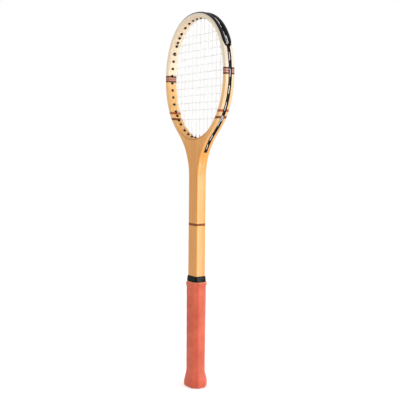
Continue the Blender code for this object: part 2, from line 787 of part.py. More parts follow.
def tack_drill():
    radius = TACK_SHANK_RADIUS + TACK_DRILL_CLEARANCE
    inward = Vector((0, -1, 0))
    rods = []
    for seat in tack_seats():
        rods.append((seat, seat + inward * (TACK_LENGTH + BUTT_FIT), radius))
    return prisms("tack_drill", rods, TACK_SIDES)


def screw_places():
    return [Vector((0, side * SCREW_SPACING / 2, SCREW_RECESS)) for side in (-1, 1)]


def make_screws():
    names = ("butt_screw_front", "butt_screw_back")
    profile = [
        (0, SCREW_LENGTH),
        (SCREW_SHANK_RADIUS, SCREW_LENGTH * 0.82),
        (SCREW_SHANK_RADIUS, SCREW_HEAD_DEPTH),
        (SCREW_HEAD_RADIUS, 0),
        (0, 0),
    ]
    for name, place in zip(names, screw_places()):
        turned(name, profile, TACK_SIDES, STEEL, Matrix.Translation(place))


def screw_rods(radius, reach):
    """Rods from below the butt's face up past each screw's own face by reach."""
    down = Vector((0, 0, -OVERCUT))
    return [(place + down, place + Vector((0, 0, reach)), radius) for place in screw_places()]


def screw_cutters():
    """Clearance for the screws' shanks, and wider seats for their heads."""
    shank = SCREW_SHANK_RADIUS + BUTT_FIT
    head = SCREW_HEAD_RADIUS + BUTT_FIT
    shanks = prisms("screw_shanks", screw_rods(shank, SCREW_LENGTH + BUTT_FIT), TACK_SIDES)
    seats = prisms("screw_seats", screw_rods(head, SCREW_HEAD_DEPTH + BUTT_FIT), TACK_SIDES)
    return shanks, seats


# Sliding collar

def rounded_rectangle(half_width, half_depth, rounding, height):
    points = []
    centres = ((1, -1, -90), (1, 1, 0), (-1, 1, 90), (-1, -1, 180))
    for sign_x, sign_y, start in centres:
        for step in range(CORNER_POINTS):
            angle = math.radians(start + 90 * step / (CORNER_POINTS - 1))
            x = sign_x * (half_width - rounding) + rounding * math.cos(angle)
            y = sign_y * (half_depth - rounding) + rounding * math.sin(angle)
            points.append((x, y, height))
    return points


def make_collar():
    """A rubber ring that grips the shaft above the leather; its origin is on the slide's axis."""
    half_depth = FRAME_DEPTH / 2

    def ring(growth, rounding, height):
        return rounded_rectangle(SHAFT_HALF + growth, half_depth + growth, rounding, height)

    foot = COLLAR_CLEARANCE + COLLAR_FOOT_WALL
    top = COLLAR_CLEARANCE + COLLAR_TOP_WALL
    shoulder = COLLAR_HEIGHT * 0.3
    sections = [
        ring(foot, COLLAR_FOOT_ROUNDING, 0),
        ring(foot * 0.96, COLLAR_FOOT_ROUNDING, shoulder),
        ring(top, COLLAR_TOP_ROUNDING, COLLAR_HEIGHT),
        ring(COLLAR_CLEARANCE, COLLAR_CLEARANCE, COLLAR_HEIGHT),
        ring(COLLAR_CLEARANCE, COLLAR_CLEARANCE, 0),
    ]
    collar = loft("grip_collar", sections, BLACK_RUBBER, hollow=True)
    collar.location.z = COLLAR_SEAT


# Grommet strips, throat liners and head guard

def barrel_rods(holes, short=()):
    """Barrels from the floor of a strip or guard to the inside of the hoop, or only a stub."""
    rods = []
    for hole in holes:
        start = hole.below_rail(CHANNEL_DEPTH + STRIP_FLOOR / 2)
        end = hole.inner_end()
        if hole in short:
            end = hole.below_rail(STRIP_DEPTH + STUB_LENGTH)
        rods.append((start, end, hole.barrel()))
    return rods


def bore_rods(holes):
    return [(hole.mouth, hole.exit + hole.axis * OVERCUT, hole.bore()) for hole in holes]


def make_strip(name, side):
    start = GUARD_END + PIECE_GAP
    ends = (start, STRIP_END) if side > 0 else (-STRIP_END, -start)
    holes = [hole for hole in ALL_HOLES if ends[0] < hole.length < ends[1]]
    outside = box_section(STRIP_HALF, 0, STRIP_DEPTH)
    channel = box_section(CHANNEL_HALF, 0, CHANNEL_DEPTH)
    section = [outside[0], channel[0], channel[3], channel[2], channel[1]] + outside[1:]
    strip = rail_loft(name, *ends, section, BLACK_PLASTIC)
    combine(strip, prisms(name + "_barrels", barrel_rods(holes, LINED_HOLES)), "UNION")
    combine(strip, prisms(name + "_bores", bore_rods(holes)))


def make_liners():
    """Tubes in the long slanted holes of the middle mains, up to the stubs of the strips."""
    for number, hole in enumerate(LINED_HOLES, 1):
        start = hole.inner_end()
        end = hole.below_rail(STRIP_DEPTH + STUB_LENGTH + PIECE_GAP)
        length = (end - start).length
        profile = [
            (hole.barrel(), length), (hole.barrel(), 0), (hole.bore(), 0), (hole.bore(), length),
            (hole.barrel(), length)]
        turn = (end - start).to_track_quat("Z", "Y").to_matrix().to_4x4()
        place = Matrix.Translation(start) @ turn
        turned(f"throat_liner_{number}", profile, HOLE_SIDES, BLACK_PLASTIC, place)


def guard_section(length, half_width, ridge):
    """The guard's cross-section on the rail: a keel in the groove and two domed ridges."""
    lift = STRIP_FIT
    crest = (half_width + CHANNEL_HALF) / 2 - 0.15 * (half_width - CHANNEL_HALF)
    half = [
        (STRIP_HALF, -STRIP_DEPTH),
        (STRIP_HALF, lift),
        (half_width, lift),
        (half_width, lift + 0.3 * ridge),
        (half_width - 0.25 * (half_width - CHANNEL_HALF), 0.82 * ridge),
        (crest, ridge),
        (CHANNEL_HALF + 0.1 * (half_width - CHANNEL_HALF), 0.84 * ridge),
        (CHANNEL_HALF, 0.5 * ridge),
        (CHANNEL_HALF, -CHANNEL_DEPTH),
    ]
    corners = half + [(-across, height) for across, height in reversed(half)]
    return rail_section(length, [(across, -height) for across, height in corners])


def make_guard():
    end = GUARD_END
    holes = [hole for hole in ALL_HOLES if -end < hole.length < end]
    shares = {
        end: 0.0, end - GUARD_TAPER * 0.35: 0.6, end - GUARD_TAPER * 0.7: 0.9, end - GUARD_TAPER: 1.0}
    stations = set(stations_between(-end, end)) | set(shares) | {-spot for spot in shares}
    sections = []
    for spot in sorted(stations):
        share = float(np.interp(-abs(spot), [-key for key in shares], list(shares.values())))
        half_width = GUARD_TIP_HALF_WIDTH + (GUARD_HALF_WIDTH - GUARD_TIP_HALF_WIDTH) * share
        ridge = GUARD_TIP_RIDGE + (GUARD_RIDGE - GUARD_TIP_RIDGE) * share
        sections.append(guard_section(spot, half_width, ridge))
    guard = loft("head_guard", sections, BLACK_PLASTIC)
    combine(guard, prisms("guard_barrels", barrel_rods(holes)), "UNION")
    combine(guard, prisms("guard_bores", bore_rods(holes)))


# Strings

def at_depth(length, depth, across):
    x, z = rail(length, depth)
    return Vector((x, across, z))


def shifted(point, across):
    return Vector((point.x, across, point.z))


def way_out(hole, across, heading, lane):
    """From a hole's mouth out to the channel, turning the way the string will run."""
    depth = STRING_RADIUS
    step = STRING_DIAMETER
    return [
        shifted(hole.mouth, across),
        shifted(hole.below_rail(CHANNEL_DEPTH), across),
        at_depth(hole.length + heading * 0.3 * step, depth + 0.3 * STRING_DIAMETER,
                 across + 0.3 * (lane - across)),
        at_depth(hole.length + heading * 1.3 * step, depth, lane),
    ]


def bight(first, second, lane, first_across=0.0, second_across=0.0):
    """Out of one hole, along the channel in a lane, and back in through another."""
    heading = 1 if second.length > first.length else -1
    leave = way_out(first, first_across, heading, lane)
    enter = way_out(second, second_across, -heading, lane)
    start = first.length + heading * 1.3 * STRING_DIAMETER
    end = second.length - heading * 1.3 * STRING_DIAMETER
    count = max(1, math.ceil(abs(end - start) / CHANNEL_STEP))
    run = [start + (end - start) * step / count for step in range(1, count)]
    middle = [at_depth(length, STRING_RADIUS, lane) for length in run]
    return leave + middle + list(reversed(enter))


def knot(hole, inward):
    """The string's end wound round the string that it is tied to, first on the barrel's far side."""
    across = Vector((0, hole.tie_side, 0))
    third = (inward * hole.axis.dot(inward) - hole.axis).normalized()
    steps = round(KNOT_TURNS * KNOT_POINTS_PER_TURN)
    points = []
    for step in range(steps + 1):
        turn = 2 * math.pi * step / KNOT_POINTS_PER_TURN
        travel = KNOT_LEAD + KNOT_PITCH * step / KNOT_POINTS_PER_TURN
        centre = shifted(hole.mouth, -tail_across(hole)) + inward * travel
        points.append(centre + LANE * (across * math.cos(turn) + third * math.sin(turn)))
    return points


def main_run(index):
    """The woven points of one main string, from the top down."""
    x = main_x(index)
    points = []
    for cross in range(CROSSES):
        z = cross_z(cross)
        reach = float(opening_offset(cross_theta(cross), -MOUTH_REACH)[0])
        low = MAIN_FEET[index].mouth.z + END_ROOM
        high = MAIN_TOPS[index].mouth.z - END_ROOM
        if low < z < high and abs(x) < reach - END_ROOM:
            points.append(Vector((x, WEAVE * parity(index, cross), z)))
    return points


def cross_run(index):
    """The woven points of one cross string, from left to right."""
    z = cross_z(index)
    points = []
    for main in range(MAINS):
        woven = [point for point in main_run(main) if abs(point.z - z) < STRING_RADIUS]
        points += [Vector((main_x(main), -point.y, z)) for point in woven]
    return points


def tail_across(hole):
    return hole.tie_side * WEAVE


def main_route():
    left_tie, right_tie = CROSS_LEFTS[TIE_CROSS_INDEX], CROSS_RIGHTS[TIE_CROSS_INDEX]
    right = Vector((1, 0, 0))
    points = list(reversed(knot(left_tie, right)))
    lane = LANE * left_tie.tie_side
    points += bight(left_tie, MAIN_TOPS[0], lane, tail_across(left_tie))
    for index in range(MAINS):
        run = main_run(index)
        points += run if index % 2 == 0 else list(reversed(run))
        if index == MAINS - 1:
            break
        row = MAIN_FEET if index % 2 == 0 else MAIN_TOPS
        here, after = row[index], row[index + 1]
        lane = 0.0
        if row is MAIN_FEET and index == 0:
            lane = LANE
        if row is MAIN_FEET and index == MAINS - 2:
            lane = -LANE * MAIN_FEET[TIE_FOOT_INDEX].tie_side
        points += bight(here, after, lane, -tail_across(here), -tail_across(after))
    lane = LANE * right_tie.tie_side
    points += bight(MAIN_TOPS[-1], right_tie, lane, 0.0, tail_across(right_tie))
    points += knot(right_tie, -right)
    return points


def cross_route():
    top_tie, foot_tie = MAIN_TOPS[TIE_TOP_INDEX], MAIN_FEET[TIE_FOOT_INDEX]
    down = Vector((0, 0, -1))
    points = list(reversed(knot(top_tie, down)))
    lane = LANE * top_tie.tie_side
    points += bight(top_tie, CROSS_RIGHTS[0], lane, tail_across(top_tie))
    for index in range(CROSSES):
        run = cross_run(index)
        points += run if index % 2 else list(reversed(run))
        if index == CROSSES - 1:
            break
        row = CROSS_RIGHTS if index % 2 else CROSS_LEFTS
        here, after = row[index], row[index + 1]
        lane = 0.0
        if row is CROSS_LEFTS and index in (0, CROSSES - 2):
            lane = -LANE
        if row is CROSS_RIGHTS and index == 1:
            lane = -LANE * CROSS_RIGHTS[TIE_CROSS_INDEX].tie_side
        points += bight(here, after, lane, -tail_across(here), -tail_across(after))
    lane = LANE * foot_tie.tie_side
    points += bight(CROSS_RIGHTS[-1], foot_tie, lane, 0.0, tail_across(foot_tie))
    points += knot(foot_tie, -down)
    return points


def make_string(name, route):
    curve = bpy.data.curves.new(name, "CURVE")
    curve.dimensions = "3D"
    curve.bevel_depth = STRING_RADIUS
    curve.bevel_resolution = 1
    curve.use_fill_caps = True
    spline = curve.splines.new("POLY")
    spline.points.add(len(route) - 1)
    for point, place in zip(spline.points, route):
        point.co = (*place, 1)
    add_object(name, curve, NYLON, PARTS)


def least_gap(route):
    """Least clear distance between stretches of one string that are not neighbours along it."""
    points = np.array(route)
    steps = np.hypot.reduce(np.diff(points, axis=0), axis=1)
    length = np.concatenate([[0], np.cumsum(steps)])
    spots = np.arange(0, length[-1], STRING_RADIUS)
    fine = np.stack([np.interp(spots, length, points[:, axis]) for axis in range(3)], axis=1)
    nearest = math.inf
    apart = int(round(2.5 * STRING_DIAMETER * math.pi / STRING_RADIUS))
    for index in range(0, len(fine) - apart):
        distance = np.linalg.norm(fine[index + apart:] - fine[index], axis=1).min()
        nearest = min(nearest, float(distance))
    return nearest - STRING_DIAMETER, float(length[-1])


def make_strings():
    for name, route in (("main_string", main_route()), ("cross_string", cross_route())):
        gap, length = least_gap(route)
        print(f"{name}: {length:.3f} m long, least gap to itself {gap / MM:.2f} mm")
        make_string(name, route)


# Assembly

def main():
    drills = prisms("string_drill", drill_rods())
    tack_holes = tack_drill()
    screw_holes, screw_seats = screw_cutters()
    make_frame(drills)
    make_core(screw_holes, tack_holes)
    make_pallets(tack_holes)
    make_butt(screw_holes, screw_seats, tack_holes)
    make_grip(tack_holes)
    make_tacks()
    make_screws()
    make_collar()
    make_strip("grommet_strip_right", 1)
    make_strip("grommet_strip_left", -1)
    make_liners()
    make_guard()
    make_strings()
    for thing in PARTS.objects:
        if thing.type == "MESH" and thing.name in ("head_guard", "grip_collar"):
            round_shaded(thing)


main()
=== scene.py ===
import math

import bpy
import numpy as np
from mathutils import Matrix, Vector


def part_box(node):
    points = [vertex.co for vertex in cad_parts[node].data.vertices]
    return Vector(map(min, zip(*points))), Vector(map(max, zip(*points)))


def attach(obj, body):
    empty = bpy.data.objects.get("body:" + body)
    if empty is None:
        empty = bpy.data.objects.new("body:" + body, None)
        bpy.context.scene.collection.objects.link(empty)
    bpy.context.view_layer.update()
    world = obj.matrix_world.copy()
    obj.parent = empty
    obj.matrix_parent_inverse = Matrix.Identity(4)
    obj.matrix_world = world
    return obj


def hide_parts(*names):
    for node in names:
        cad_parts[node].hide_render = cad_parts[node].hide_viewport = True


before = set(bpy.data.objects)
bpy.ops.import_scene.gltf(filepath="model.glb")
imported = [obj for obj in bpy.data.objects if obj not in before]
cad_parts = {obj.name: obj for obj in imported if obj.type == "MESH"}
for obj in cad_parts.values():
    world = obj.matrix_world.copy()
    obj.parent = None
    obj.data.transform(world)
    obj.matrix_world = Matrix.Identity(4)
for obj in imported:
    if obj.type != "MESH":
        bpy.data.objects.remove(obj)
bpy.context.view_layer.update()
MM = 0.001

# Sizes of the solids, repeated here in metres
OVERALL_LENGTH = 685 * MM
FRAME_DEPTH = 20.8 * MM
OPENING_HALF_WIDTH = 87.3 * MM
OPENING_RISE = 105.9 * MM
OPENING_FALL = 110.4 * MM
RISE_FULLNESS = 2.17
FALL_FULLNESS = 2.0
OUTER_PLY = 3.3 * MM
MIDDLE_PLY = 2.4 * MM
INNER_PLY = 2.3 * MM
GLUE_LINE = 0.15 * MM
SHAFT_WIDTH = 27.6 * MM
THROAT_SLOPE = math.radians(45)
THROAT_RADIUS = 105 * MM
SPLICE_HEIGHT = 304 * MM
WEDGE_TIP = 0.8 * MM
STRING_DIAMETER = 1.3 * MM
STRING_GAP = 0.3 * MM
MAINS = 12
CROSSES = 12
THROAT_MAIN_COUNT = 4
TIE_CROSS_INDEX = 2
MAIN_PITCH = 12.27 * MM
CROSS_PITCH = 13.44 * MM
SECOND_CROSS_LIFT = 62.1 * MM
FIRST_CROSS_STEP = 14.2 * MM
LAST_CROSS_STEP = 16.7 * MM
END_ROOM = 2 * MM
KNOT_PITCH = 1.85 * MM
KNOT_LEAD = 1.3 * MM
BORE_CLEARANCE = 0.6 * MM
BARREL_LIP = 1.1 * MM
BARREL_PROUD = 1.6 * MM
MOUTH_REACH = 1.6 * MM
STRIP_FLOOR = 0.9 * MM
STRIP_WALL = 0.7 * MM
STRIP_FIT = 0.2 * MM
CHANNEL_CLEARANCE = 0.4 * MM
STRIP_TAIL = 6 * MM
PIECE_GAP = 0.4 * MM
THROAT_EXIT_RISE = 3.1 * MM
THROAT_EXIT_STEP = 7.8 * MM
GUARD_DROP = 67 * MM
GUARD_HALF_WIDTH = 9.5 * MM
GUARD_RIDGE = 1.9 * MM
GUARD_TAPER = 14 * MM
GUARD_TIP_HALF_WIDTH = 4.4 * MM
GUARD_TIP_RIDGE = 0.9 * MM
GRIP_TOP = 197.2 * MM
HANDLE_HALF_WIDTH = 16.2 * MM
HANDLE_HALF_DEPTH = 12.9 * MM
HANDLE_CHAMFER = 7.1 * MM
LEATHER_FIT = 0.2 * MM
LEATHER_FOOT = 0.5 * MM
LEATHER_UPPER = 1.9 * MM
LEATHER_WAIST = 1.5 * MM
LEATHER_LOWER = 1.2 * MM
LIP_HEIGHT = 7.2 * MM
LIP_LEATHER = 2.9 * MM
FLARE_TOP = 33 * MM
FLARE_WIDEST = 9 * MM
FLARE_SPREAD = 3.9 * MM
FLARE_UNDERCUT = 0.62
BUTT_CAP_THICKNESS = 2 * MM
SCREW_SPACING = 9.6 * MM
SCREW_HEAD_RADIUS = 2.8 * MM
SCREW_RECESS = 0.2 * MM
COLLAR_HEIGHT = 10.4 * MM
COLLAR_SEAT_GAP = 0.4 * MM
COLLAR_CLEARANCE = 0.2 * MM
COLLAR_TOP_WALL = 0.7 * MM
COLLAR_FOOT_WALL = 1.6 * MM
COLLAR_TOP_ROUNDING = 3 * MM
COLLAR_FOOT_ROUNDING = 4 * MM

# Finish of the wood
OUTER_EDGE = 2.1 * MM
CROWN = 0.5 * MM
INNER_EDGE = 1.9 * MM
INNER_FLAT = 4 * MM
MIDDLE_PLY_EDGE = 0.12 * MM
GROOVE_END_STEP = 0.03 * MM

# Leather: the spiral strip, its seams and vents, and its rounded ends
LEATHER_STRIP = 25 * MM
LEATHER_STEP = 0.28 * MM
LEATHER_LAP_SHARE = 0.035
LEATHER_SHOULDER = 1.4 * MM
LEATHER_CORNER = 2.6 * MM
LEATHER_RING_STEP = 0.75 * MM
LIP_LEAD = 1.5 * MM
LIP_SLOPE = 2.6 * MM
SEAM_RUN_IN = 8 * MM
SEAM_RUN_OUT = 4 * MM
SEAM_END = 3 * MM
GIRTH = 111 * MM
GIRTH_ROW = 100
BUTT_ROUNDING = 5.4 * MM
BUTT_TUCK = 3.4 * MM
BUTT_FULLNESS = 2.3
VENT_PITCH = 5.4
VENT_ROWS = 5.0
HANDLE_CORNER = 1.0 * MM

# Butt plate, screws, tacks and collar
PLATE_CORNER = 1.6 * MM
PLATE_EDGE = 0.5 * MM
PLATE_GROOVE = 0.22 * MM
SCREW_SIDES = 40
SLOT_HALF = 0.42 * MM
SLOT_DEPTH = 0.55 * MM
TACK_SIDES = 28
TACK_RADIUS = 2 * MM
TACK_PROUD = 0.68 * MM
COLLAR_FOOT_ROLL = 0.75 * MM
COLLAR_TOP_ROLL = 0.55 * MM
COLLAR_ROLL_SHARES = (0.12, 0.86)

# Grommets and guard
BARREL_SIDES = 20
BARREL_ROLL = 0.22 * MM
BARREL_ROOT = 1.4 * MM
BORE_FLOOR = 0.9 * MM
STRIP_ROLL = 0.18 * MM
GUARD_EDGE = 0.1 * MM
GUARD_TUCK = 0.2 * MM
GUARD_KEEL_EDGE = 0.3 * MM
GUARD_CREST = 0.52
GUARD_FALL = 0.72

# Strings: how they bend, and where they lie in the grooves
STRING_SIDES = 12
STRING_END_RISE = 0.7
BIGHT_STEP = 3 * MM
EASE_REACH = 0.75 * MM
EASE_FINE = 0.2 * MM
EASE_STEP = 0.85 * MM
BEND_START = 0.3 * STRING_DIAMETER
BEND_END = 1.3 * STRING_DIAMETER
KNOT_STEPS = 24
GROOVE_REACH = 1.03
FILAMENT_LAY = 3.2 * MM

# Painted trim
BAND_HEIGHT = 573.9 * MM
BAND_SHIFTS = (-0.7 * MM, 1.9 * MM)
BAND_HALF = 6.1 * MM
BAND_LINE = 1.5 * MM
STRIPE_HEIGHTS = (508.2 * MM, 496.8 * MM)
STRIPE_HALF = 2.1 * MM
AMBER_HEIGHTS = (425 * MM, 520 * MM)
RING_HEIGHT = 303.2 * MM
RING_HALF = 2.15 * MM
PAINT_EDGE = 0.22 * MM
PAINT_WOBBLE = 0.45 * MM

# What follows from these
HOOP_WALL = OUTER_PLY + GLUE_LINE + MIDDLE_PLY + GLUE_LINE + INNER_PLY
HEAD_CENTRE = OVERALL_LENGTH - HOOP_WALL - OPENING_RISE
SHAFT_HALF = SHAFT_WIDTH / 2
CORE_HALF = SHAFT_HALF - OUTER_PLY - MIDDLE_PLY - 2 * GLUE_LINE
STRING_RADIUS = STRING_DIAMETER / 2
WEAVE = (STRING_DIAMETER + STRING_GAP) / 2
LANE = STRING_DIAMETER + STRING_GAP
BORE_RADIUS = STRING_RADIUS + BORE_CLEARANCE
TIE_BORE_RADIUS = WEAVE + STRING_RADIUS + BORE_CLEARANCE
CHANNEL_DEPTH = STRING_DIAMETER + STRING_GAP
CHANNEL_HALF = LANE + STRING_RADIUS + CHANNEL_CLEARANCE
STRIP_HALF = CHANNEL_HALF + STRIP_WALL
STRIP_DEPTH = CHANNEL_DEPTH + STRIP_FLOOR
GROOVE_DEPTH = STRIP_DEPTH + STRIP_FIT
GROOVE_HALF = STRIP_HALF + STRIP_FIT
WOOD_FOOT = BUTT_CAP_THICKNESS + 0.3 * MM
FOOT_GROWTH = FLARE_SPREAD * (1 - FLARE_UNDERCUT)
HALF_DEPTH = FRAME_DEPTH / 2
CHAMFER_GROWTH = 2 - math.sqrt(2)
COLLAR_SEAT = GRIP_TOP + COLLAR_SEAT_GAP
TIE_TOP_INDEX = MAINS - 2
TIE_FOOT_INDEX = MAINS - 1
TABLE_SIZE = 1500
CORNERS = ((1, -1, -90), (1, 1, 0), (-1, 1, 90), (-1, -1, 180))


# Camera and studio

CAMERA_YAW = math.radians(55)
CAMERA_PITCH = 0.0692
CAMERA_ROLL = 0.0101
# In millimetres: the aim's height on the racket, and how far to the right, up and back the camera stands
SIGHT_HEIGHT = 340
CAMERA_RIGHT = 5.25
CAMERA_UP = 7.698
CAMERA_BACK = 1388.1
SENSOR_WIDTH = 36
LENS_PER_WIDTH = 755.8 / 400
AMBIENT = 0.68
FLOOR_LIFT = 0.4
FLOOR_HALF = 6.0
FLOOR_TONES = ((0.86, 0.86, 0.86), (0.9, 0.9, 0.9))
LAMP_AIM = Vector((0, 0, 0.36))
# Each lamp's name, place, width and height in metres, and power in watts
LAMPS = (
    ("key", (2.45, 1.15, 0.65), (1.9, 1.2), 36.0),
    ("fill", (0.1, -2.1, 1.1), (1.4, 1.4), 6.0),
    ("strip", (1.55, 0.65, 0.4), (0.07, 1.3), 1.3),
    ("low_strip", (0.62, 0.36, 0.12), (0.04, 0.2), 0.53),
)


def aim_camera():
    """The camera stands where the photograph's lines of sight meet, found from the racket's own sizes."""
    level = math.cos(CAMERA_PITCH)
    back = Vector((math.sin(CAMERA_YAW) * level, -math.cos(CAMERA_YAW) * level, math.sin(CAMERA_PITCH)))
    side = Vector((math.cos(CAMERA_YAW), math.sin(CAMERA_YAW), 0))
    up = back.cross(side)
    right = side * math.cos(CAMERA_ROLL) + up * math.sin(CAMERA_ROLL)
    up = up * math.cos(CAMERA_ROLL) - side * math.sin(CAMERA_ROLL)
    data = bpy.data.cameras.new("camera")
    data.sensor_width = SENSOR_WIDTH
    data.lens = LENS_PER_WIDTH * SENSOR_WIDTH
    camera = add_object("camera", data)
    aim = Vector((0, 0, SIGHT_HEIGHT * MM))
    place = aim + right * CAMERA_RIGHT * MM + up * CAMERA_UP * MM + back * CAMERA_BACK * MM
    turn = Matrix((right, up, back)).transposed().to_4x4()
    camera.matrix_world = Matrix.Translation(place) @ turn
    bpy.context.scene.camera = camera


class Nodes:
    """Short calls for building a node tree; a value is a number, a colour or another node's socket."""

    def __init__(self, tree):
        self.tree = tree

    def add(self, kind, **inputs):
        return self.set(self.tree.nodes.new("ShaderNode" + kind), **inputs)

    def set(self, node, **inputs):
        """Feed several sockets; an underscore stands for a space in a socket's name."""
        for name, value in inputs.items():
            self.feed(node, name.replace("_", " "), value)
        return node

    def feed(self, node, name, value):
        socket = node.inputs[name]
        if isinstance(value, bpy.types.NodeSocket):
            self.tree.links.new(value, socket)
        elif isinstance(value, tuple) and len(value) == 3 and socket.type == "RGBA":
            socket.default_value = (*value, 1)
        else:
            socket.default_value = value

    def work(self, kind, operation, values):
        node = self.add(kind)
        node.operation = operation
        for index, value in enumerate(values):
            self.feed(node, index, value)
        return node.outputs[0]

    def math(self, operation, *values):
        return self.work("Math", operation, values)

    def times(self, first, second):
        return self.math("MULTIPLY", first, second)

    def plus(self, first, second):
        return self.math("ADD", first, second)

    def minus(self, first, second):
        return self.math("SUBTRACT", first, second)

    def rest(self, share):
        return self.minus(1.0, share)

    def larger(self, first, *others):
        for other in others:
            first = self.math("MAXIMUM", first, other)
        return first

    def distance(self, first, second):
        """The long side of a right angle, from its two short sides."""
        return self.math("SQRT", self.plus(self.math("POWER", first, 2.0), self.math("POWER", second, 2.0)))

    def noise(self, vector, scale, detail=3.0, roughness=0.55, offset=(0, 0, 0)):
        """Noise at one scale, or at one for each axis."""
        if isinstance(scale, tuple):
            stretch = self.add("Mapping", Vector=vector, Scale=scale, Location=offset)
            vector, scale = stretch.outputs[0], 1.0
        node = self.add("TexNoise", Vector=vector, Scale=scale, Detail=detail, Roughness=roughness)
        return node.outputs[0]

    def ramp(self, value, low, high, out_low=0.0, out_high=1.0):
        node = self.add("MapRange", Value=value, From_Min=low, From_Max=high, To_Min=out_low, To_Max=out_high)
        node.interpolation_type = "SMOOTHSTEP"
        return node.outputs[0]

    def mix(self, share, first, second):
        node = self.add("Mix")
        node.data_type = "RGBA"
        for index, value in ((0, share), (6, first), (7, second)):
            self.feed(node, index, value)
        return node.outputs[2]

    def over(self, tone, mask, strength, paint):
        """Paint laid on a tone where the mask is 1, as thick as its strength says."""
        return self.mix(self.times(mask, strength), tone, paint)

    def bump(self, shader, height, strength, distance):
        bump = self.add("Bump", Height=height, Strength=strength, Distance=distance)
        self.feed(shader, "Normal", bump.outputs[0])

    def here(self):
        return self.add("TexCoord").outputs["Object"]

    def surface_place(self):
        return self.add("UVMap").outputs[0]

    def parts(self, vector):
        return self.add("SeparateXYZ", Vector=vector).outputs

    def join(self, x, y, z):
        return self.add("CombineXYZ", X=x, Y=y, Z=z).outputs[0]

    def group(self, tree, **inputs):
        node = self.add("Group")
        node.node_tree = tree
        return self.set(node, **inputs).outputs


def colour(red, green, blue):
    """A colour as seen on a screen, from 0 to 255, as the linear values that shaders take."""
    share = np.array([red, green, blue]) / 255
    linear = np.where(share <= 0.04045, share / 12.92, ((share + 0.055) / 1.055) ** 2.4)
    return tuple(float(value) for value in linear)


def new_group(name, inputs, outputs):
    """A node group with the kinds of its named sockets; its nodes, what it is given and its end."""
    tree = bpy.data.node_groups.new(name, "ShaderNodeTree")
    for way, sockets in (("INPUT", inputs), ("OUTPUT", outputs)):
        for label, kind in sockets.items():
            tree.interface.new_socket(label, in_out=way, socket_type="NodeSocket" + kind)
    source = tree.nodes.new("NodeGroupInput")
    target = tree.nodes.new("NodeGroupOutput")
    return Nodes(tree), source.outputs, target


def add_object(name, data):
    item = bpy.data.objects.new(name, data)
    bpy.context.scene.collection.objects.link(item)
    return item


def new_material(name, roughness=0.5):
    material = bpy.data.materials.new(name)
    material.use_nodes = True
    shader = material.node_tree.nodes["Principled BSDF"]
    shader.inputs["Roughness"].default_value = roughness
    return material, Nodes(material.node_tree), shader


def seen_clearly(n):
    """1 on rays from the camera, in a gloss or through a clear skin, and 0 on those that only light."""
    rays = n.add("LightPath").outputs
    return n.larger(rays["Is Camera Ray"], rays["Is Glossy Ray"], rays["Is Transmission Ray"])


def make_floor():
    """A pale square, lifted a little where the camera, a gloss or a clear skin sees it."""
    corners = np.array([(-1, -1, 0), (1, -1, 0), (1, 1, 0), (-1, 1, 0)]) * FLOOR_HALF
    mesh = bpy.data.meshes.new("floor")
    mesh.from_pydata(corners.tolist(), [], [(0, 1, 2, 3)])
    floor = add_object("floor", mesh)
    material, n, shader = new_material("pale_floor", 0.9)
    grain = n.noise(n.here(), 9.0)
    n.set(shader, Base_Color=n.mix(n.ramp(grain, 0.3, 0.7), *FLOOR_TONES), Emission_Color=(1.0, 1.0, 1.0),
          Emission_Strength=n.times(seen_clearly(n), FLOOR_LIFT))
    mesh.materials.append(material)


def make_studio():
    """A pale floor and an even white surround: to the right a broad lamp, a tall strip and a near low strip
    for the lower shaft, and a fill in front."""
    world = bpy.data.worlds.new("studio")
    bpy.context.scene.world = world
    world.use_nodes = True
    n = Nodes(world.node_tree)
    shader = world.node_tree.nodes["Background"]
    n.set(shader, Color=(1.0, 1.0, 1.0), Strength=n.plus(n.times(seen_clearly(n), 1 - AMBIENT), AMBIENT))
    make_floor()
    for name, place, (width, height), power in LAMPS:
        data = bpy.data.lights.new(name, "AREA")
        data.shape = "ELLIPSE"
        data.size = width
        data.size_y = height
        data.energy = power
        lamp = add_object(name, data)
        lamp.location = place
        lamp.rotation_euler = (LAMP_AIM - Vector(place)).to_track_quat("-Z", "Y").to_euler()
    bpy.context.scene.view_settings.view_transform = "Standard"


# Surfaces from arrays

def closed_volume(points, quads, caps):
    """Six times the volume that the faces close, below 0 where they face inwards."""
    corners = points[quads]
    total = sum(np.sum(corners[:, 0] * np.cross(corners[:, side], corners[:, side + 1])) for side in (1, 2))
    for cap in caps:
        fan = points[np.asarray(cap)]
        total += np.sum(fan[0] * np.cross(fan[1:-1], fan[2:]))
    return total


def outward(points, quads, caps):
    """The same surface with its faces turned outwards, judged by the volume that they close."""
    if closed_volume(points, quads, caps) < 0:
        return points, quads[:, ::-1], [cap[::-1] for cap in caps]
    return points, quads, caps


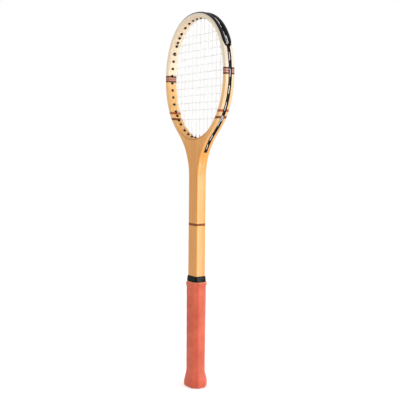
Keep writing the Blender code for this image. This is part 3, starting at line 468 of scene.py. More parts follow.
def build_mesh(name, points, quads, caps, material, grain=None, uv=None, sharp=50.0):
    """A closed mesh from points, quads as rows of four indices, and caps as longer rows of indices."""
    points = np.asarray(points, np.float32).reshape(-1, 3)
    quads = np.asarray(quads, np.int32).reshape(-1, 4)
    turn = -1 if closed_volume(points.astype(float), quads, caps) < 0 else 1
    quads = quads[:, ::turn]
    caps = [np.asarray(cap, np.int32)[::turn] for cap in caps]
    loops = np.concatenate([quads.ravel()] + caps)
    sizes = np.array([4] * len(quads) + [len(cap) for cap in caps], np.int32)
    mesh = bpy.data.meshes.new(name)
    mesh.vertices.add(len(points))
    mesh.vertices.foreach_set("co", points.ravel())
    mesh.loops.add(len(loops))
    mesh.loops.foreach_set("vertex_index", loops.astype(np.int32))
    mesh.polygons.add(len(sizes))
    mesh.polygons.foreach_set("loop_start", np.concatenate([[0], np.cumsum(sizes)[:-1]]).astype(np.int32))
    mesh.update(calc_edges=True)
    if grain is not None:
        layer = mesh.attributes.new("grain", "FLOAT_VECTOR", "POINT")
        layer.data.foreach_set("vector", np.asarray(grain, np.float32).ravel())
    if uv is not None:
        pairs = np.asarray(uv, np.float32).reshape(-1, 4, 2)[:, ::turn].reshape(-1, 2)
        extra = np.zeros((len(loops) - len(pairs), 2), np.float32)
        layer = mesh.uv_layers.new(name="surface")
        layer.data.foreach_set("uv", np.concatenate([pairs, extra]).ravel())
    mesh.validate()
    mesh.shade_smooth()
    mesh.set_sharp_from_angle(angle=math.radians(sharp))
    mesh.materials.append(material)
    piece = add_object(name, mesh)
    return piece


def grid_quads(rows, columns, closed_rows=False, closed_columns=True):
    """Quads between neighbouring rows and columns of a grid of points."""
    row = np.arange(rows if closed_rows else rows - 1)[:, None]
    column = np.arange(columns if closed_columns else columns - 1)[None, :]
    here, beside = row * columns + column, row * columns + (column + 1) % columns
    step = (row + 1) % rows * columns - row * columns
    return np.stack([here, beside, beside + step, here + step], axis=-1).reshape(-1, 4)


def grid_uv(along, around):
    """Corner values for the quads of a grid whose columns close: around each column and along each row."""
    left, low = np.meshgrid(around[:-1], along[:-1])
    right, high = np.meshgrid(around[1:], along[1:])
    corners = ((left, low), (right, low), (right, high), (left, high))
    return np.stack([np.stack(pair, axis=-1) for pair in corners], axis=2).reshape(-1, 2)


def end_caps(rows, columns):
    return [np.arange(columns)[::-1], np.arange((rows - 1) * columns, rows * columns)]


def at_levels(rings, levels):
    """Flat rings of (x, y), each lifted to its own level."""
    lift = np.broadcast_to(np.asarray(levels)[:, None, None], rings.shape[:2] + (1,))
    return np.concatenate([rings, lift], axis=2)


def swept(name, points, material, grain=None, closed=False, **more):
    """A section carried along a path; an open path gets a cap at each end."""
    rows, columns = points.shape[:2]
    caps = [] if closed else end_caps(rows, columns)
    quads = grid_quads(rows, columns, closed_rows=closed)
    return build_mesh(name, points, quads, caps, material, grain=grain, **more)


def lengths_along(points):
    """Length of a path from its start to each of its points."""
    return np.concatenate([[0], np.cumsum(np.linalg.norm(np.diff(points, axis=0), axis=1))])


def stretches(stops, counts):
    """Even steps from stop to stop, with a count of values for each stretch; a shared stop comes once."""
    runs = [np.linspace(start, end, count)[1:] for start, end, count in zip(stops, stops[1:], counts)]
    return np.concatenate([stops[:1], *runs])


def circle(count):
    """Cosines and sines of evenly spaced angles, once round."""
    angle = np.linspace(0, 2 * math.pi, count, endpoint=False)
    return np.cos(angle), np.sin(angle)


def turned(radii, reach, count):
    """Rings about an axis, each with its radius and its reach along the axis: two ways across, and along."""
    cosine, sine = circle(count)
    along = np.broadcast_to(reach[:, None], (len(reach), count))
    return radii[:, None] * cosine, radii[:, None] * sine, along


def s_curve(share):
    """From 0 to 1 without a corner at either end: three times the square less twice the cube."""
    return share ** 2 * (3 - 2 * share)


def round_over(share, fullness=1.0):
    """How far a quarter circle has fallen away from its tangent, from 0 to 1."""
    return 1 - np.sqrt(1 - fullness * share ** 2)


def arc(centre, radius, start, end, count):
    """Points on an arc, from one angle to another in degrees."""
    angle = np.radians(np.linspace(start, end, count))
    return np.stack([centre[0] + radius * np.cos(angle), centre[1] + radius * np.sin(angle)], axis=1)


# Opening, rail and holes, by the same rules as the solids

def opening(theta):
    """The opening's right half is a superellipse, fuller above its widest level; with outward normals."""
    theta = np.asarray(theta, float)
    cosine = np.abs(np.cos(theta))
    sine = np.sin(theta)
    height = np.where(sine >= 0, OPENING_RISE, OPENING_FALL)
    fullness = np.where(sine >= 0, RISE_FULLNESS, FALL_FULLNESS)
    x = OPENING_HALF_WIDTH * cosine ** (2 / fullness)
    z = height * np.sign(sine) * np.abs(sine) ** (2 / fullness)
    slope_x = (x / OPENING_HALF_WIDTH) ** (fullness - 1) / OPENING_HALF_WIDTH
    slope_z = np.sign(z) * (np.abs(z) / height) ** (fullness - 1) / height
    size = np.hypot(slope_x, slope_z)
    return x, HEAD_CENTRE + z, slope_x / size, slope_z / size


def opening_offset(theta, distance):
    """The opening's outline moved outwards along its normals."""
    x, z, normal_x, normal_z = opening(theta)
    return x + distance * normal_x, z + distance * normal_z


def leaving_angle():
    """Where the opening's outline is as steep as the line down to the throat, by halving."""
    low, high = -math.pi / 2, 0.0
    for halving in range(60):
        middle = (low + high) / 2
        if -opening(middle)[3] > math.sin(THROAT_SLOPE):
            low = middle
        else:
            high = middle
    return (low + high) / 2


LEAVE = leaving_angle()


def build_rail():
    """The frame's outer edge from the tip: offset of the opening, a tangent line, an arc, the shaft."""
    theta = np.linspace(math.pi / 2, LEAVE, TABLE_SIZE)
    normal_x, normal_z = opening(theta)[2:]
    x, z = opening_offset(theta, HOOP_WALL)
    joint_x = SHAFT_HALF + THROAT_RADIUS * (1 - math.cos(THROAT_SLOPE))
    joint_z = z[-1] - (x[-1] - joint_x) / math.tan(THROAT_SLOPE)
    foot_z = joint_z - THROAT_RADIUS * math.sin(THROAT_SLOPE)
    turn = np.linspace(THROAT_SLOPE, 0, TABLE_SIZE)
    x = np.concatenate([x, SHAFT_HALF + THROAT_RADIUS * (1 - np.cos(turn)), [SHAFT_HALF]])
    z = np.concatenate([z, foot_z + THROAT_RADIUS * np.sin(turn), [WOOD_FOOT]])
    normal_x = np.concatenate([normal_x, np.cos(turn), [1]])
    normal_z = np.concatenate([normal_z, -np.sin(turn), [0]])
    length = lengths_along(np.stack([x, z], axis=1))
    marks = (length[TABLE_SIZE - 1], length[TABLE_SIZE], length[-2], length[-1])
    return (length, x, z, normal_x, normal_z), marks


RAIL, (RAIL_LEAVE, RAIL_BEND, RAIL_FOOT, RAIL_END) = build_rail()


def rail(length, depth=0.0):
    """Points (x, z) at lengths along the rail, sunk by depths; a negative length is on the left."""
    length = np.asarray(length, float)
    x, z, normal_x, normal_z = (np.interp(np.abs(length), RAIL[0], column) for column in RAIL[1:])
    scale = np.hypot(normal_x, normal_z)
    side = np.where(length < 0, -1.0, 1.0)
    return side * (x - depth * normal_x / scale), z - depth * normal_z / scale


def rail_length_at(height):
    return float(np.interp(-height, -RAIL[2], RAIL[0]))


def carried(lengths, section):
    """Grid of points: the section's (across, depth) pairs at each length of the rail.
    The section is one array for all lengths, or one for each."""
    lengths = np.asarray(lengths, float)
    section = np.broadcast_to(section, (len(lengths),) + np.shape(section)[-2:])
    x, z = rail(lengths[:, None], section[..., 1])
    return np.stack([x, section[..., 0], z], axis=-1)


class Hole:
    """A string hole: its mouth inside the opening, its exit on the rail, and what it carries."""

    def __init__(self, mouth, exit_length, tie_side=0):
        self.length = exit_length
        self.mouth = Vector((mouth[0], 0, mouth[1]))
        x, z = rail(exit_length)
        self.exit = Vector((float(x), 0, float(z)))
        self.axis = (self.exit - self.mouth).normalized()
        normal_x = np.interp(abs(exit_length), RAIL[0], RAIL[3])
        normal_z = np.interp(abs(exit_length), RAIL[0], RAIL[4])
        side = -1 if exit_length < 0 else 1
        self.lean = self.axis.x * normal_x * side + self.axis.z * normal_z
        self.tie_side = tie_side

    def bore(self):
        return TIE_BORE_RADIUS if self.tie_side else BORE_RADIUS

    def below_rail(self, depth):
        return self.exit - self.axis * (depth / self.lean)


HALF_TURN = np.linspace(-math.pi / 2, math.pi / 2, TABLE_SIZE)
INSET_X, INSET_Z = opening_offset(HALF_TURN, -MOUTH_REACH)


def ray_exit(theta):
    """Where on the rail the opening's outward normal comes out: the rail's nearest point to that ray."""
    x, z, normal_x, normal_z = (float(value) for value in opening(theta))
    across = (RAIL[1] - x) * normal_z - (RAIL[2] - z) * normal_x
    along = (RAIL[1] - x) * normal_x + (RAIL[2] - z) * normal_z
    return float(RAIL[0][int(np.argmin(np.where(along > 0, np.abs(across), 1.0)))])


def hole_at(theta, side, tie_side=0):
    x, z = opening_offset(theta, -MOUTH_REACH)
    return Hole((side * float(x), float(z)), side * ray_exit(theta), tie_side)


def main_x(index):
    return (index - (MAINS - 1) / 2) * MAIN_PITCH


def cross_z(index):
    """Height of a cross, from the tip down: even steps, with wider ones at the first and the last."""
    second = HEAD_CENTRE + SECOND_CROSS_LIFT
    if index == 0:
        return second + FIRST_CROSS_STEP
    if index == CROSSES - 1:
        return second - (CROSSES - 3) * CROSS_PITCH - LAST_CROSS_STEP
    return second - (index - 1) * CROSS_PITCH


def main_theta(index, top):
    """Angle at which a main meets the opening's outline, inside the mouths of the barrels."""
    half = TABLE_SIZE // 2
    if top:
        return float(np.interp(-abs(main_x(index)), -INSET_X[half:], HALF_TURN[half:]))
    return float(np.interp(abs(main_x(index)), INSET_X[:half], HALF_TURN[:half]))


def cross_theta(index):
    """Angle at which a cross meets that outline."""
    return float(np.interp(cross_z(index), INSET_Z, HALF_TURN))


def parity(main, cross):
    return 1 if (main + cross) % 2 == 0 else -1


def make_main_foot(index):
    """The innermost mains' feet leave through the throat, one below the other; the rest follow the normal."""
    side = -1 if main_x(index) < 0 else 1
    rank = index if index >= MAINS // 2 else MAINS - 1 - index
    tie_side = -parity(MAINS - 1, CROSSES - 2) if index == TIE_FOOT_INDEX else 0
    place = rank - MAINS // 2
    theta = main_theta(index, False)
    if place >= THROAT_MAIN_COUNT:
        return hole_at(theta, side, tie_side)
    below = (THROAT_MAIN_COUNT - 1 - place) * THROAT_EXIT_STEP
    length = rail_length_at(HEAD_CENTRE - OPENING_FALL + THROAT_EXIT_RISE - below)
    mouth = (main_x(index), float(opening_offset(theta, -MOUTH_REACH)[1]))
    return Hole(mouth, side * length, tie_side)


def make_main_top(index):
    side = -1 if main_x(index) < 0 else 1
    return hole_at(main_theta(index, True), side, -parity(index, 0) if index == TIE_TOP_INDEX else 0)


def make_cross_end(index, side):
    nearest = 0 if side < 0 else MAINS - 1
    return hole_at(cross_theta(index), side, parity(nearest, index) if index == TIE_CROSS_INDEX else 0)


MAIN_TOPS = [make_main_top(index) for index in range(MAINS)]
MAIN_FEET = [make_main_foot(index) for index in range(MAINS)]
CROSS_LEFTS = [make_cross_end(index, -1) for index in range(CROSSES)]
CROSS_RIGHTS = [make_cross_end(index, 1) for index in range(CROSSES)]
ALL_HOLES = MAIN_TOPS + MAIN_FEET + CROSS_LEFTS + CROSS_RIGHTS
GUARD_END = rail_length_at(OVERALL_LENGTH - GUARD_DROP)
STRIP_END = abs(MAIN_FEET[MAINS // 2].length) + STRIP_TAIL


# Strings

def shifted(point, across):
    return Vector((point.x, across, point.z))


def at_depth(length, depth, across):
    x, z = rail(length, depth)
    return Vector((float(x), across, float(z)))


def way_out(hole, across, heading, lane):
    """Through the hole, then over its edge into the lane: a little way along, and then right in."""
    turning = across + BEND_START / STRING_DIAMETER * (lane - across)
    return [
        shifted(hole.mouth, across),
        shifted(hole.below_rail(CHANNEL_DEPTH), across),
        at_depth(hole.length + heading * BEND_START, STRING_RADIUS + BEND_START, turning),
        at_depth(hole.length + heading * BEND_END, STRING_RADIUS, lane),
    ]


def bight(first, second, lane, first_across=0.0, second_across=0.0):
    """Out of one hole, along the channel in a lane, and back in through another."""
    heading = 1 if second.length > first.length else -1
    leave = way_out(first, first_across, heading, lane)
    enter = way_out(second, second_across, -heading, lane)
    start = first.length + heading * BEND_END
    end = second.length - heading * BEND_END
    run = np.linspace(start, end, max(2, int(abs(end - start) / BIGHT_STEP) + 1))[1:-1]
    return leave + [at_depth(length, STRING_RADIUS, lane) for length in run] + list(reversed(enter))


def tail_across(hole):
    return hole.tie_side * WEAVE


def knot(hole, inward):
    """One round turn about the anchor string, as a helix that starts on the barrel's far side."""
    across = Vector((0, hole.tie_side, 0))
    third = (inward * hole.axis.dot(inward) - hole.axis).normalized()
    points = []
    for step in range(KNOT_STEPS + 1):
        share = step / KNOT_STEPS
        centre = shifted(hole.mouth, -tail_across(hole)) + inward * (KNOT_LEAD + KNOT_PITCH * share)
        turn = 2 * math.pi * share
        points.append(centre + LANE * (across * math.cos(turn) + third * math.sin(turn)))
    return points


def main_run(index):
    """Where a main crosses the crosses, in front and behind by turns, from the throat to the tip."""
    x = main_x(index)
    points = []
    for cross in range(CROSSES):
        z = cross_z(cross)
        reach = float(opening_offset(cross_theta(cross), -MOUTH_REACH)[0])
        low, high = MAIN_FEET[index].mouth.z + END_ROOM, MAIN_TOPS[index].mouth.z - END_ROOM
        if low < z < high and abs(x) < reach - END_ROOM:
            points.append(Vector((x, WEAVE * parity(index, cross), z)))
    return points


def cross_run(index):
    """Where a cross meets the mains that reach it, on the other side of each, from left to right."""
    z = cross_z(index)
    points = []
    for main in range(MAINS):
        points += [Vector((main_x(main), -p.y, z)) for p in main_run(main) if abs(p.z - z) < STRING_RADIUS]
    return points


def string_route(first_tie, last_tie, runs, rows, lanes, inward):
    """A string from knot to knot: the runs of the bed one after another, every second one backwards, with a
    bight between them. A bight that would meet another in the groove keeps to its own lane."""
    points = knot(first_tie, inward)[::-1]
    points += bight(first_tie, rows[1][0], LANE * first_tie.tie_side, tail_across(first_tie))
    for index, run in enumerate(runs):
        points += run[::-1] if index % 2 else run
        if index < len(runs) - 1:
            here, after = rows[index % 2][index:index + 2]
            points += bight(here, after, lanes.get(index, 0.0), -tail_across(here), -tail_across(after))
    points += bight(rows[1][-1], last_tie, LANE * last_tie.tie_side, 0.0, tail_across(last_tie))
    return points + knot(last_tie, -inward)


def main_route():
    """Up and down the mains from left to right, tied off at both ends on a cross."""
    lanes = {0: LANE, MAINS - 2: -LANE * MAIN_FEET[TIE_FOOT_INDEX].tie_side}
    runs = [main_run(index) for index in range(MAINS)]
    return string_route(CROSS_LEFTS[TIE_CROSS_INDEX], CROSS_RIGHTS[TIE_CROSS_INDEX], runs,
                        (MAIN_FEET, MAIN_TOPS), lanes, Vector((1, 0, 0)))


def cross_route():
    """To and fro along the crosses from the tip down, tied off at both ends on a main."""
    lanes = {0: -LANE, 1: -LANE * CROSS_RIGHTS[TIE_CROSS_INDEX].tie_side, CROSSES - 2: -LANE}
    runs = [cross_run(index)[::-1] for index in range(CROSSES)]
    return string_route(MAIN_TOPS[TIE_TOP_INDEX], MAIN_FEET[TIE_FOOT_INDEX], runs,
                        (CROSS_LEFTS, CROSS_RIGHTS), lanes, Vector((0, 0, -1)))


def eased(route):
    """The route with its corners eased: a running average with bell-shaped weights along its length."""
    points = np.array([tuple(point) for point in route])
    points = points[np.concatenate([[True], np.linalg.norm(np.diff(points, axis=0), axis=1) > 1e-7])]
    length = lengths_along(points)
    reach, fine = EASE_REACH, EASE_FINE
    spots = np.arange(0, length[-1], fine)
    dense = np.stack([np.interp(spots, length, points[:, axis]) for axis in range(3)], axis=1)
    half = int(3 * reach / fine)
    weight = np.exp(-0.5 * (np.arange(-half, half + 1) * fine / reach) ** 2)
    weight /= weight.sum()
    before = 2 * dense[:1] - dense[half:0:-1]
    after = 2 * dense[-1:] - dense[-2:-half - 2:-1]
    padded = np.concatenate([before, dense, after])
    smooth = np.stack([np.convolve(padded[:, axis], weight, "valid") for axis in range(3)], axis=1)
    return smooth[::int(round(EASE_STEP / fine))]


def string_tube(name, path, material, outer_material):
    """A round tube with rounded ends about a path; its rings turn as little as they can. The faces that lie
    outside the opening, in the grooves, take the second finish."""
    ahead = np.gradient(path, axis=0)
    ahead /= np.linalg.norm(ahead, axis=1)[:, None]
    first = np.cross(ahead[0], (0.31, 0.86, 0.4))
    across = [first / np.linalg.norm(first)]
    for heading in ahead[1:]:
        kept = across[-1] - heading * across[-1].dot(heading)
        across.append(kept / np.linalg.norm(kept))
    across = np.array(across)
    cosine, sine = (value[:, None] for value in circle(STRING_SIDES))
    ring = across[:, None] * cosine + np.cross(ahead, across)[:, None] * sine
    domes = []
    for place, heading in ((0, -1), (-1, 1)):
        tilt = np.radians([30, 60, 82])[:, None, None]
        dome = heading * STRING_END_RISE * ahead[place] * np.sin(tilt) + ring[place] * np.cos(tilt)
        domes.append(path[place] + STRING_RADIUS * dome)
    points = np.concatenate([domes[0][::-1], path[:, None] + STRING_RADIUS * ring, domes[1]])
    length = np.pad(lengths_along(path), 3, "edge")
    uv = grid_uv(length, np.linspace(0, 1, STRING_SIDES + 1))
    piece = swept(name, points, material, uv=uv, sharp=80)
    piece.data.materials.append(outer_material)
    centres = np.empty(3 * len(piece.data.polygons))
    piece.data.polygons.foreach_get("center", centres)
    x, _, z = centres.reshape(-1, 3).T
    reach = np.hypot(x / OPENING_HALF_WIDTH, 2 * (z - HEAD_CENTRE) / (OPENING_RISE + OPENING_FALL))
    piece.data.polygons.foreach_set("material_index", (reach > GROOVE_REACH).astype(np.int32))
    return piece


# Shared finishes

# How many times in a metre each pattern of the wood changes: along the grain, into it and across it
WARP_RATE = (7, 30, 30)
GROWTH_RATE = (3.5, 420, 300)
FIBRE_RATE = (26, 2600, 2300)
DRIFT_RATE = (9, 60, 60)
PORE_RATE = (110, 3000, 3000)

PORE = colour(150, 98, 52)
CREAM_LIGHT = colour(250, 238, 216)
CREAM_DARK = colour(240, 220, 192)
AMBER_LIGHT = colour(236, 164, 74)
AMBER_DARK = colour(216, 143, 54)
ROSE = colour(190, 110, 92)
ROSE_FLECK = colour(212, 152, 130)
BAND_BROWN = colour(82, 42, 20)
STRIPE_LOWER = colour(116, 62, 30)
STRIPE_UPPER = colour(164, 82, 48)
RING_BROWN = colour(104, 34, 6)
WOOD_SCRATCH = colour(255, 236, 205)
PLASTIC_SCRATCH = colour(96, 94, 98)
NYLON_WHITE = colour(255, 255, 254)
NYLON_SHADE = colour(252, 251, 249)
NYLON_LINE = colour(236, 234, 230)
# Painted shade on the string where it goes into the grommets' bores
NYLON_PAINTED_HOLE_SHADE = colour(44, 41, 40)
LEATHER_LIGHT = colour(227, 109, 80)
LEATHER_DARK = colour(209, 93, 68)
LEATHER_DEEP = colour(160, 60, 48)
LEATHER_SKIVED = colour(255, 170, 130)
# Painted shade inside the leather's vents
LEATHER_VENT_SHADE = colour(110, 42, 30)
LEATHER_CUT = colour(250, 190, 140)
STEEL_LIGHT = (0.62, 0.6, 0.57)
STEEL_DARK = (0.4, 0.38, 0.36)


def make_grain_group():
    """Lacquered wood: fibres and pores drawn out along X, broad growth bands, and slow tonal drift."""
    n, given, out = new_group(
        "wood_grain", dict(Vector="Vector", Light="Color", Dark="Color", Pore="Color", Contrast="Float"),
        dict(Color="Color", Height="Float"))
    place = given["Vector"]
    sway = n.times(n.noise(place, WARP_RATE, 2.0), 0.004)
    bent = n.work("VectorMath", "ADD", (place, n.join(0.0, sway, sway)))
    bands = n.noise(bent, GROWTH_RATE, 2.0, 0.6)
    fibres = n.noise(place, FIBRE_RATE, 3.0, 0.6)
    drift = n.noise(place, DRIFT_RATE, 2.0, offset=(4, 1, 2))
    pores = n.ramp(n.noise(place, PORE_RATE, 1.0, offset=(1, 7, 3)), 0.64, 0.74)
    share = n.plus(n.times(n.ramp(bands, 0.34, 0.7), 0.6), n.times(fibres, 0.34))
    share = n.times(n.plus(share, n.times(n.minus(drift, 0.5), 0.7)), given["Contrast"])
    tone = n.over(n.mix(share, given["Light"], given["Dark"]), pores, 0.4, given["Pore"])
    n.set(out, Color=tone, Height=n.minus(n.times(fibres, 0.35), n.times(pores, 0.6)))
    return n.tree


def make_band_group():
    """Painted trim by height: the paired bands on the head, two stripes under them, and the splice ring.
    Cream is where the paler stain of the crown begins, above the bands, and Amber where the deeper one of
    the shaft ends. The bands stand a little higher on the right of the head than on the left."""
    n, given, out = new_group(
        "painted_trim", dict(Vector="Vector"),
        dict.fromkeys(("Cream", "Amber", "Rose", "Brown", "Stripe", "Lower", "Ring", "Paint"), "Float"))
    place = given["Vector"]
    x, y, z = n.parts(place)
    height = n.plus(z, n.times(n.minus(n.noise(place, 160.0), 0.5), PAINT_WOBBLE))
    on_band = n.minus(height, n.ramp(x, -OPENING_HALF_WIDTH, OPENING_HALF_WIDTH, *BAND_SHIFTS))

    def near(centre, half, level=height):
        distance = n.math("ABSOLUTE", n.minus(level, centre))
        return n.ramp(distance, half - PAINT_EDGE, half + PAINT_EDGE, 1.0, 0.0)

    band = near(BAND_HEIGHT, BAND_HALF, on_band)
    edges = (near(BAND_HEIGHT + side * (BAND_HALF - BAND_LINE), BAND_LINE, on_band) for side in (1, -1))
    dark = n.larger(*edges, n.times(near(BAND_HEIGHT, BAND_LINE * 0.6, on_band), 0.8))
    stripes = n.larger(*(near(level, STRIPE_HALF) for level in STRIPE_HEIGHTS))
    ring = near(RING_HEIGHT, RING_HALF)
    n.set(out, Cream=n.ramp(on_band, BAND_HEIGHT - BAND_HALF, BAND_HEIGHT + BAND_HALF),
          Amber=n.ramp(height, *AMBER_HEIGHTS, 1.0, 0.0),
          Lower=n.ramp(height, STRIPE_HEIGHTS[1] + 3 * MM, STRIPE_HEIGHTS[0] - 3 * MM, 1.0, 0.0),
          Rose=n.times(band, n.rest(dark)), Brown=dark, Stripe=stripes, Ring=ring,
          Paint=n.larger(band, stripes, ring))
    return n.tree


def make_scuff_group():
    """Handling marks: faint dull patches and short fine scratches that run two ways."""
    n, given, out = new_group("handling_marks", dict(Vector="Vector", Amount="Float"),
                              dict(Dull="Float", Scratch="Float"))
    place, amount = given["Vector"], given["Amount"]
    dull = n.ramp(n.noise(place, 38.0, 4.0), 0.5, 0.72)
    upright = n.ramp(n.noise(place, (900, 900, 60), 2.0, offset=(3, 1, 2)), 0.7, 0.76)
    level = n.ramp(n.noise(place, (90, 700, 900), 2.0, offset=(8, 4, 2)), 0.72, 0.78)
    n.set(out, Dull=n.times(dull, amount), Scratch=n.times(n.larger(upright, level), amount))
    return n.tree


GRAIN = make_grain_group()
BANDS = make_band_group()
SCUFFS = make_scuff_group()


def make_wood(name, light, dark, bent=False, painted=True, contrast=1.0, lacquer=0.8, seed=0.0,
              cream_tint_and_painted_shade=(1.0, 1.0, 1.0)):
    """Wood under clear lacquer, with the painted trim unless it is bare; the paint is matt. Bent plies read
    the grain attribute; straight pieces run up Z."""
    material, n, shader = new_material(name)
    here = n.here()
    if bent:
        attribute = n.add("Attribute")
        attribute.attribute_name = "grain"
        run = attribute.outputs["Vector"]
    else:
        x, y, z = n.parts(here)
        run = n.join(n.plus(z, seed), x, y)
    tones = colour(*light), colour(*dark)
    if painted:
        trim = n.group(BANDS, Vector=here)
        # The cream is scaled per ply: painted shade on the outer ash ply, a tint of its own on the inner ply
        creams = (tuple(np.multiply(cream, cream_tint_and_painted_shade)) for cream in (CREAM_LIGHT, CREAM_DARK))
        tones = [n.mix(trim["Amber"], n.mix(trim["Cream"], tone, cream), amber)
                 for tone, cream, amber in zip(tones, creams, (AMBER_LIGHT, AMBER_DARK))]
    grain = n.group(GRAIN, Vector=run, Light=tones[0], Dark=tones[1], Pore=PORE, Contrast=contrast)
    marks = n.group(SCUFFS, Vector=here, Amount=0.35)
    tone, height, coat = grain["Color"], grain["Height"], lacquer
    if painted:
        fleck = n.ramp(n.noise(here, 900.0, 2.0), 0.66, 0.74)
        tone = n.mix(trim["Rose"], tone, n.mix(fleck, ROSE, ROSE_FLECK))
        tone = n.over(tone, trim["Brown"], 0.97, BAND_BROWN)
        tone = n.over(tone, trim["Stripe"], 0.95, n.mix(trim["Lower"], STRIPE_UPPER, STRIPE_LOWER))
        tone = n.over(tone, trim["Ring"], 0.86, RING_BROWN)
        coat = n.times(n.rest(n.larger(trim["Brown"], trim["Stripe"], trim["Ring"])), lacquer)
        height = n.plus(height, n.times(trim["Paint"], 0.8))
    n.set(shader, Base_Color=n.over(tone, marks["Scratch"], 0.35, WOOD_SCRATCH),
          Roughness=n.plus(n.times(marks["Dull"], 0.25), 0.34), Specular_IOR_Level=0.12,
          Coat_Weight=coat, Coat_Roughness=0.24)
    n.bump(shader, height, 0.28, 0.00012)
    return material


def make_black_plastic(name, base, roughness, amount=0.6, gloss=0.25):
    """Moulded black nylon: a fine spark-eroded skin, dull patches and pale scuffs."""
    material, n, shader = new_material(name)
    here = n.here()
    marks = n.group(SCUFFS, Vector=here, Amount=amount)
    base = colour(*base)
    tone = n.mix(n.times(marks["Dull"], 0.6), base, tuple(2.4 * value for value in base))
    n.set(shader, Base_Color=n.over(tone, marks["Scratch"], 0.3, PLASTIC_SCRATCH), Specular_IOR_Level=gloss,
          Roughness=n.plus(n.times(marks["Dull"], 0.22), roughness))
    n.bump(shader, n.noise(here, 2600.0, 2.0), 0.25, 0.00008)
    return material


def make_nylon(name, clear):
    """White nylon string: a clear skin over filaments that wind round it, seen as a fine slanted line, and
    darkened with painted shade where it goes into the grommets, all round the edge of the opening."""
    material, n, shader = new_material(name, 0.28)
    place = n.parts(n.surface_place())
    wind = n.plus(n.times(place[1], 1 / FILAMENT_LAY), place[0])
    line = n.math("ABSOLUTE", n.minus(n.math("FRACT", n.times(wind, 3.0)), 0.5))
    groove = n.ramp(line, 0.0, 0.16)
    here = n.here()
    tone = n.mix(n.ramp(n.noise(here, 60.0), 0.35, 0.7), NYLON_WHITE, NYLON_SHADE)
    tone = n.over(tone, n.rest(groove), 0.1, NYLON_LINE)
    x, y, z = n.parts(here)
    high = n.math("DIVIDE", n.minus(z, HEAD_CENTRE), (OPENING_RISE + OPENING_FALL) / 2)
    reach = n.distance(n.math("DIVIDE", x, OPENING_HALF_WIDTH), high)
    # Painted shade: the string turns almost black in a ring round the edge of the opening, where it enters
    # the bores
    painted_hole_shade = n.times(n.ramp(reach, 0.958, 0.974), n.ramp(reach, GROOVE_REACH, 1.06, 1.0, 0.0))
    n.set(shader, Base_Color=n.over(tone, painted_hole_shade, 0.9, NYLON_PAINTED_HOLE_SHADE), Transmission_Weight=clear, IOR=1.5)
    n.bump(shader, groove, 0.3, 0.00006)
    return material


def make_leather(name):
    """Terracotta leather wound in a spiral: seams where the turns meet, small vents painted dark as the shade
    in their holes, pebbled grain.
    The map's U is the way round the handle and V the height, both in metres."""
    material, n, shader = new_material(name)
    here = n.here()
    around, level = n.parts(n.surface_place())[:2]
    rise = n.math("DIVIDE", n.minus(level, n.times(around, LEATHER_STRIP / GIRTH)), LEATHER_STRIP)
    strip = n.math("FRACT", rise)
    seam = n.math("MINIMUM", strip, n.rest(strip))
    crease = n.ramp(seam, 0.004, 0.03, 1.0, 0.0)
    skived = n.ramp(seam, 0.0, 0.14, 1.0, 0.0)
    row = n.times(strip, VENT_ROWS)
    every_second = n.math("MODULO", n.math("FLOOR", row), 2.0)
    column = n.plus(n.math("DIVIDE", around, VENT_PITCH * MM), n.times(every_second, 0.5))
    off_row = n.times(n.minus(n.math("FRACT", row), 0.5), LEATHER_STRIP / MM / VENT_ROWS)
    off_column = n.times(n.minus(n.math("FRACT", column), 0.5), VENT_PITCH)
    lip_foot = GRIP_TOP - LIP_HEIGHT
    inside = n.times(n.ramp(level, FLARE_TOP + 4 * MM, FLARE_TOP + 6 * MM),
                     n.ramp(level, lip_foot - 4 * MM, lip_foot - 2 * MM, 1.0, 0.0))
    vent = n.times(n.ramp(n.distance(off_row, off_column), 0.26, 0.44, 1.0, 0.0), inside)
    pebble = n.add("TexVoronoi", Vector=here, Scale=1500.0)
    pebble.feature = "DISTANCE_TO_EDGE"
    pebbles = n.ramp(pebble.outputs["Distance"], 0.0, 0.22)
    wrinkle = n.noise(here, (330.0, 330.0, 528.0), 4.0, 0.6)
    cloud = n.noise(here, 42.0, 4.0)
    tone = n.mix(n.ramp(cloud, 0.3, 0.7), LEATHER_LIGHT, LEATHER_DARK)
    tone = n.mix(n.ramp(wrinkle, 0.45, 0.7, 0.0, 0.22), tone, LEATHER_DEEP)
    tone = n.over(tone, n.rest(pebbles), 0.16, LEATHER_DEEP)
    tone = n.over(tone, crease, 0.22, LEATHER_DEEP)
    tone = n.over(tone, skived, 0.05, LEATHER_SKIVED)
    # Painted shade: a vent is only a dent in the bump, and this dark colour stands for the shade inside its
    # hole
    tone = n.over(tone, vent, 0.4, LEATHER_VENT_SHADE)
    top = n.ramp(level, GRIP_TOP - 1.6 * MM, GRIP_TOP - 0.4 * MM)
    speck = n.plus(n.times(n.ramp(n.noise(here, 700.0, 2.0), 0.45, 0.6), 0.5), 0.2)
    rough = n.plus(n.plus(n.times(cloud, 0.2), 0.42), n.times(vent, 0.3))
    n.set(shader, Base_Color=n.mix(n.times(top, speck), tone, LEATHER_CUT), Roughness=rough,
          Specular_IOR_Level=0.28, Sheen_Weight=0.06)
    height = n.plus(n.times(pebbles, 0.35), n.times(wrinkle, 0.5))
    height = n.minus(n.minus(height, n.times(vent, 2.2)), n.times(crease, 1.6))
    n.bump(shader, height, 0.4, 0.00014)
    return material


def make_steel():
    """Nickelled steel with fine turning marks."""
    material, n, shader = new_material("nickelled_steel")
    marks = n.noise(n.here(), (300, 300, 2500))
    n.set(shader, Base_Color=n.mix(marks, STEEL_LIGHT, STEEL_DARK), Metallic=1.0,
          Roughness=n.ramp(marks, 0.3, 0.7, 0.22, 0.42))
    n.bump(shader, marks, 0.2, 0.00005)
    return material


# Wood of the frame

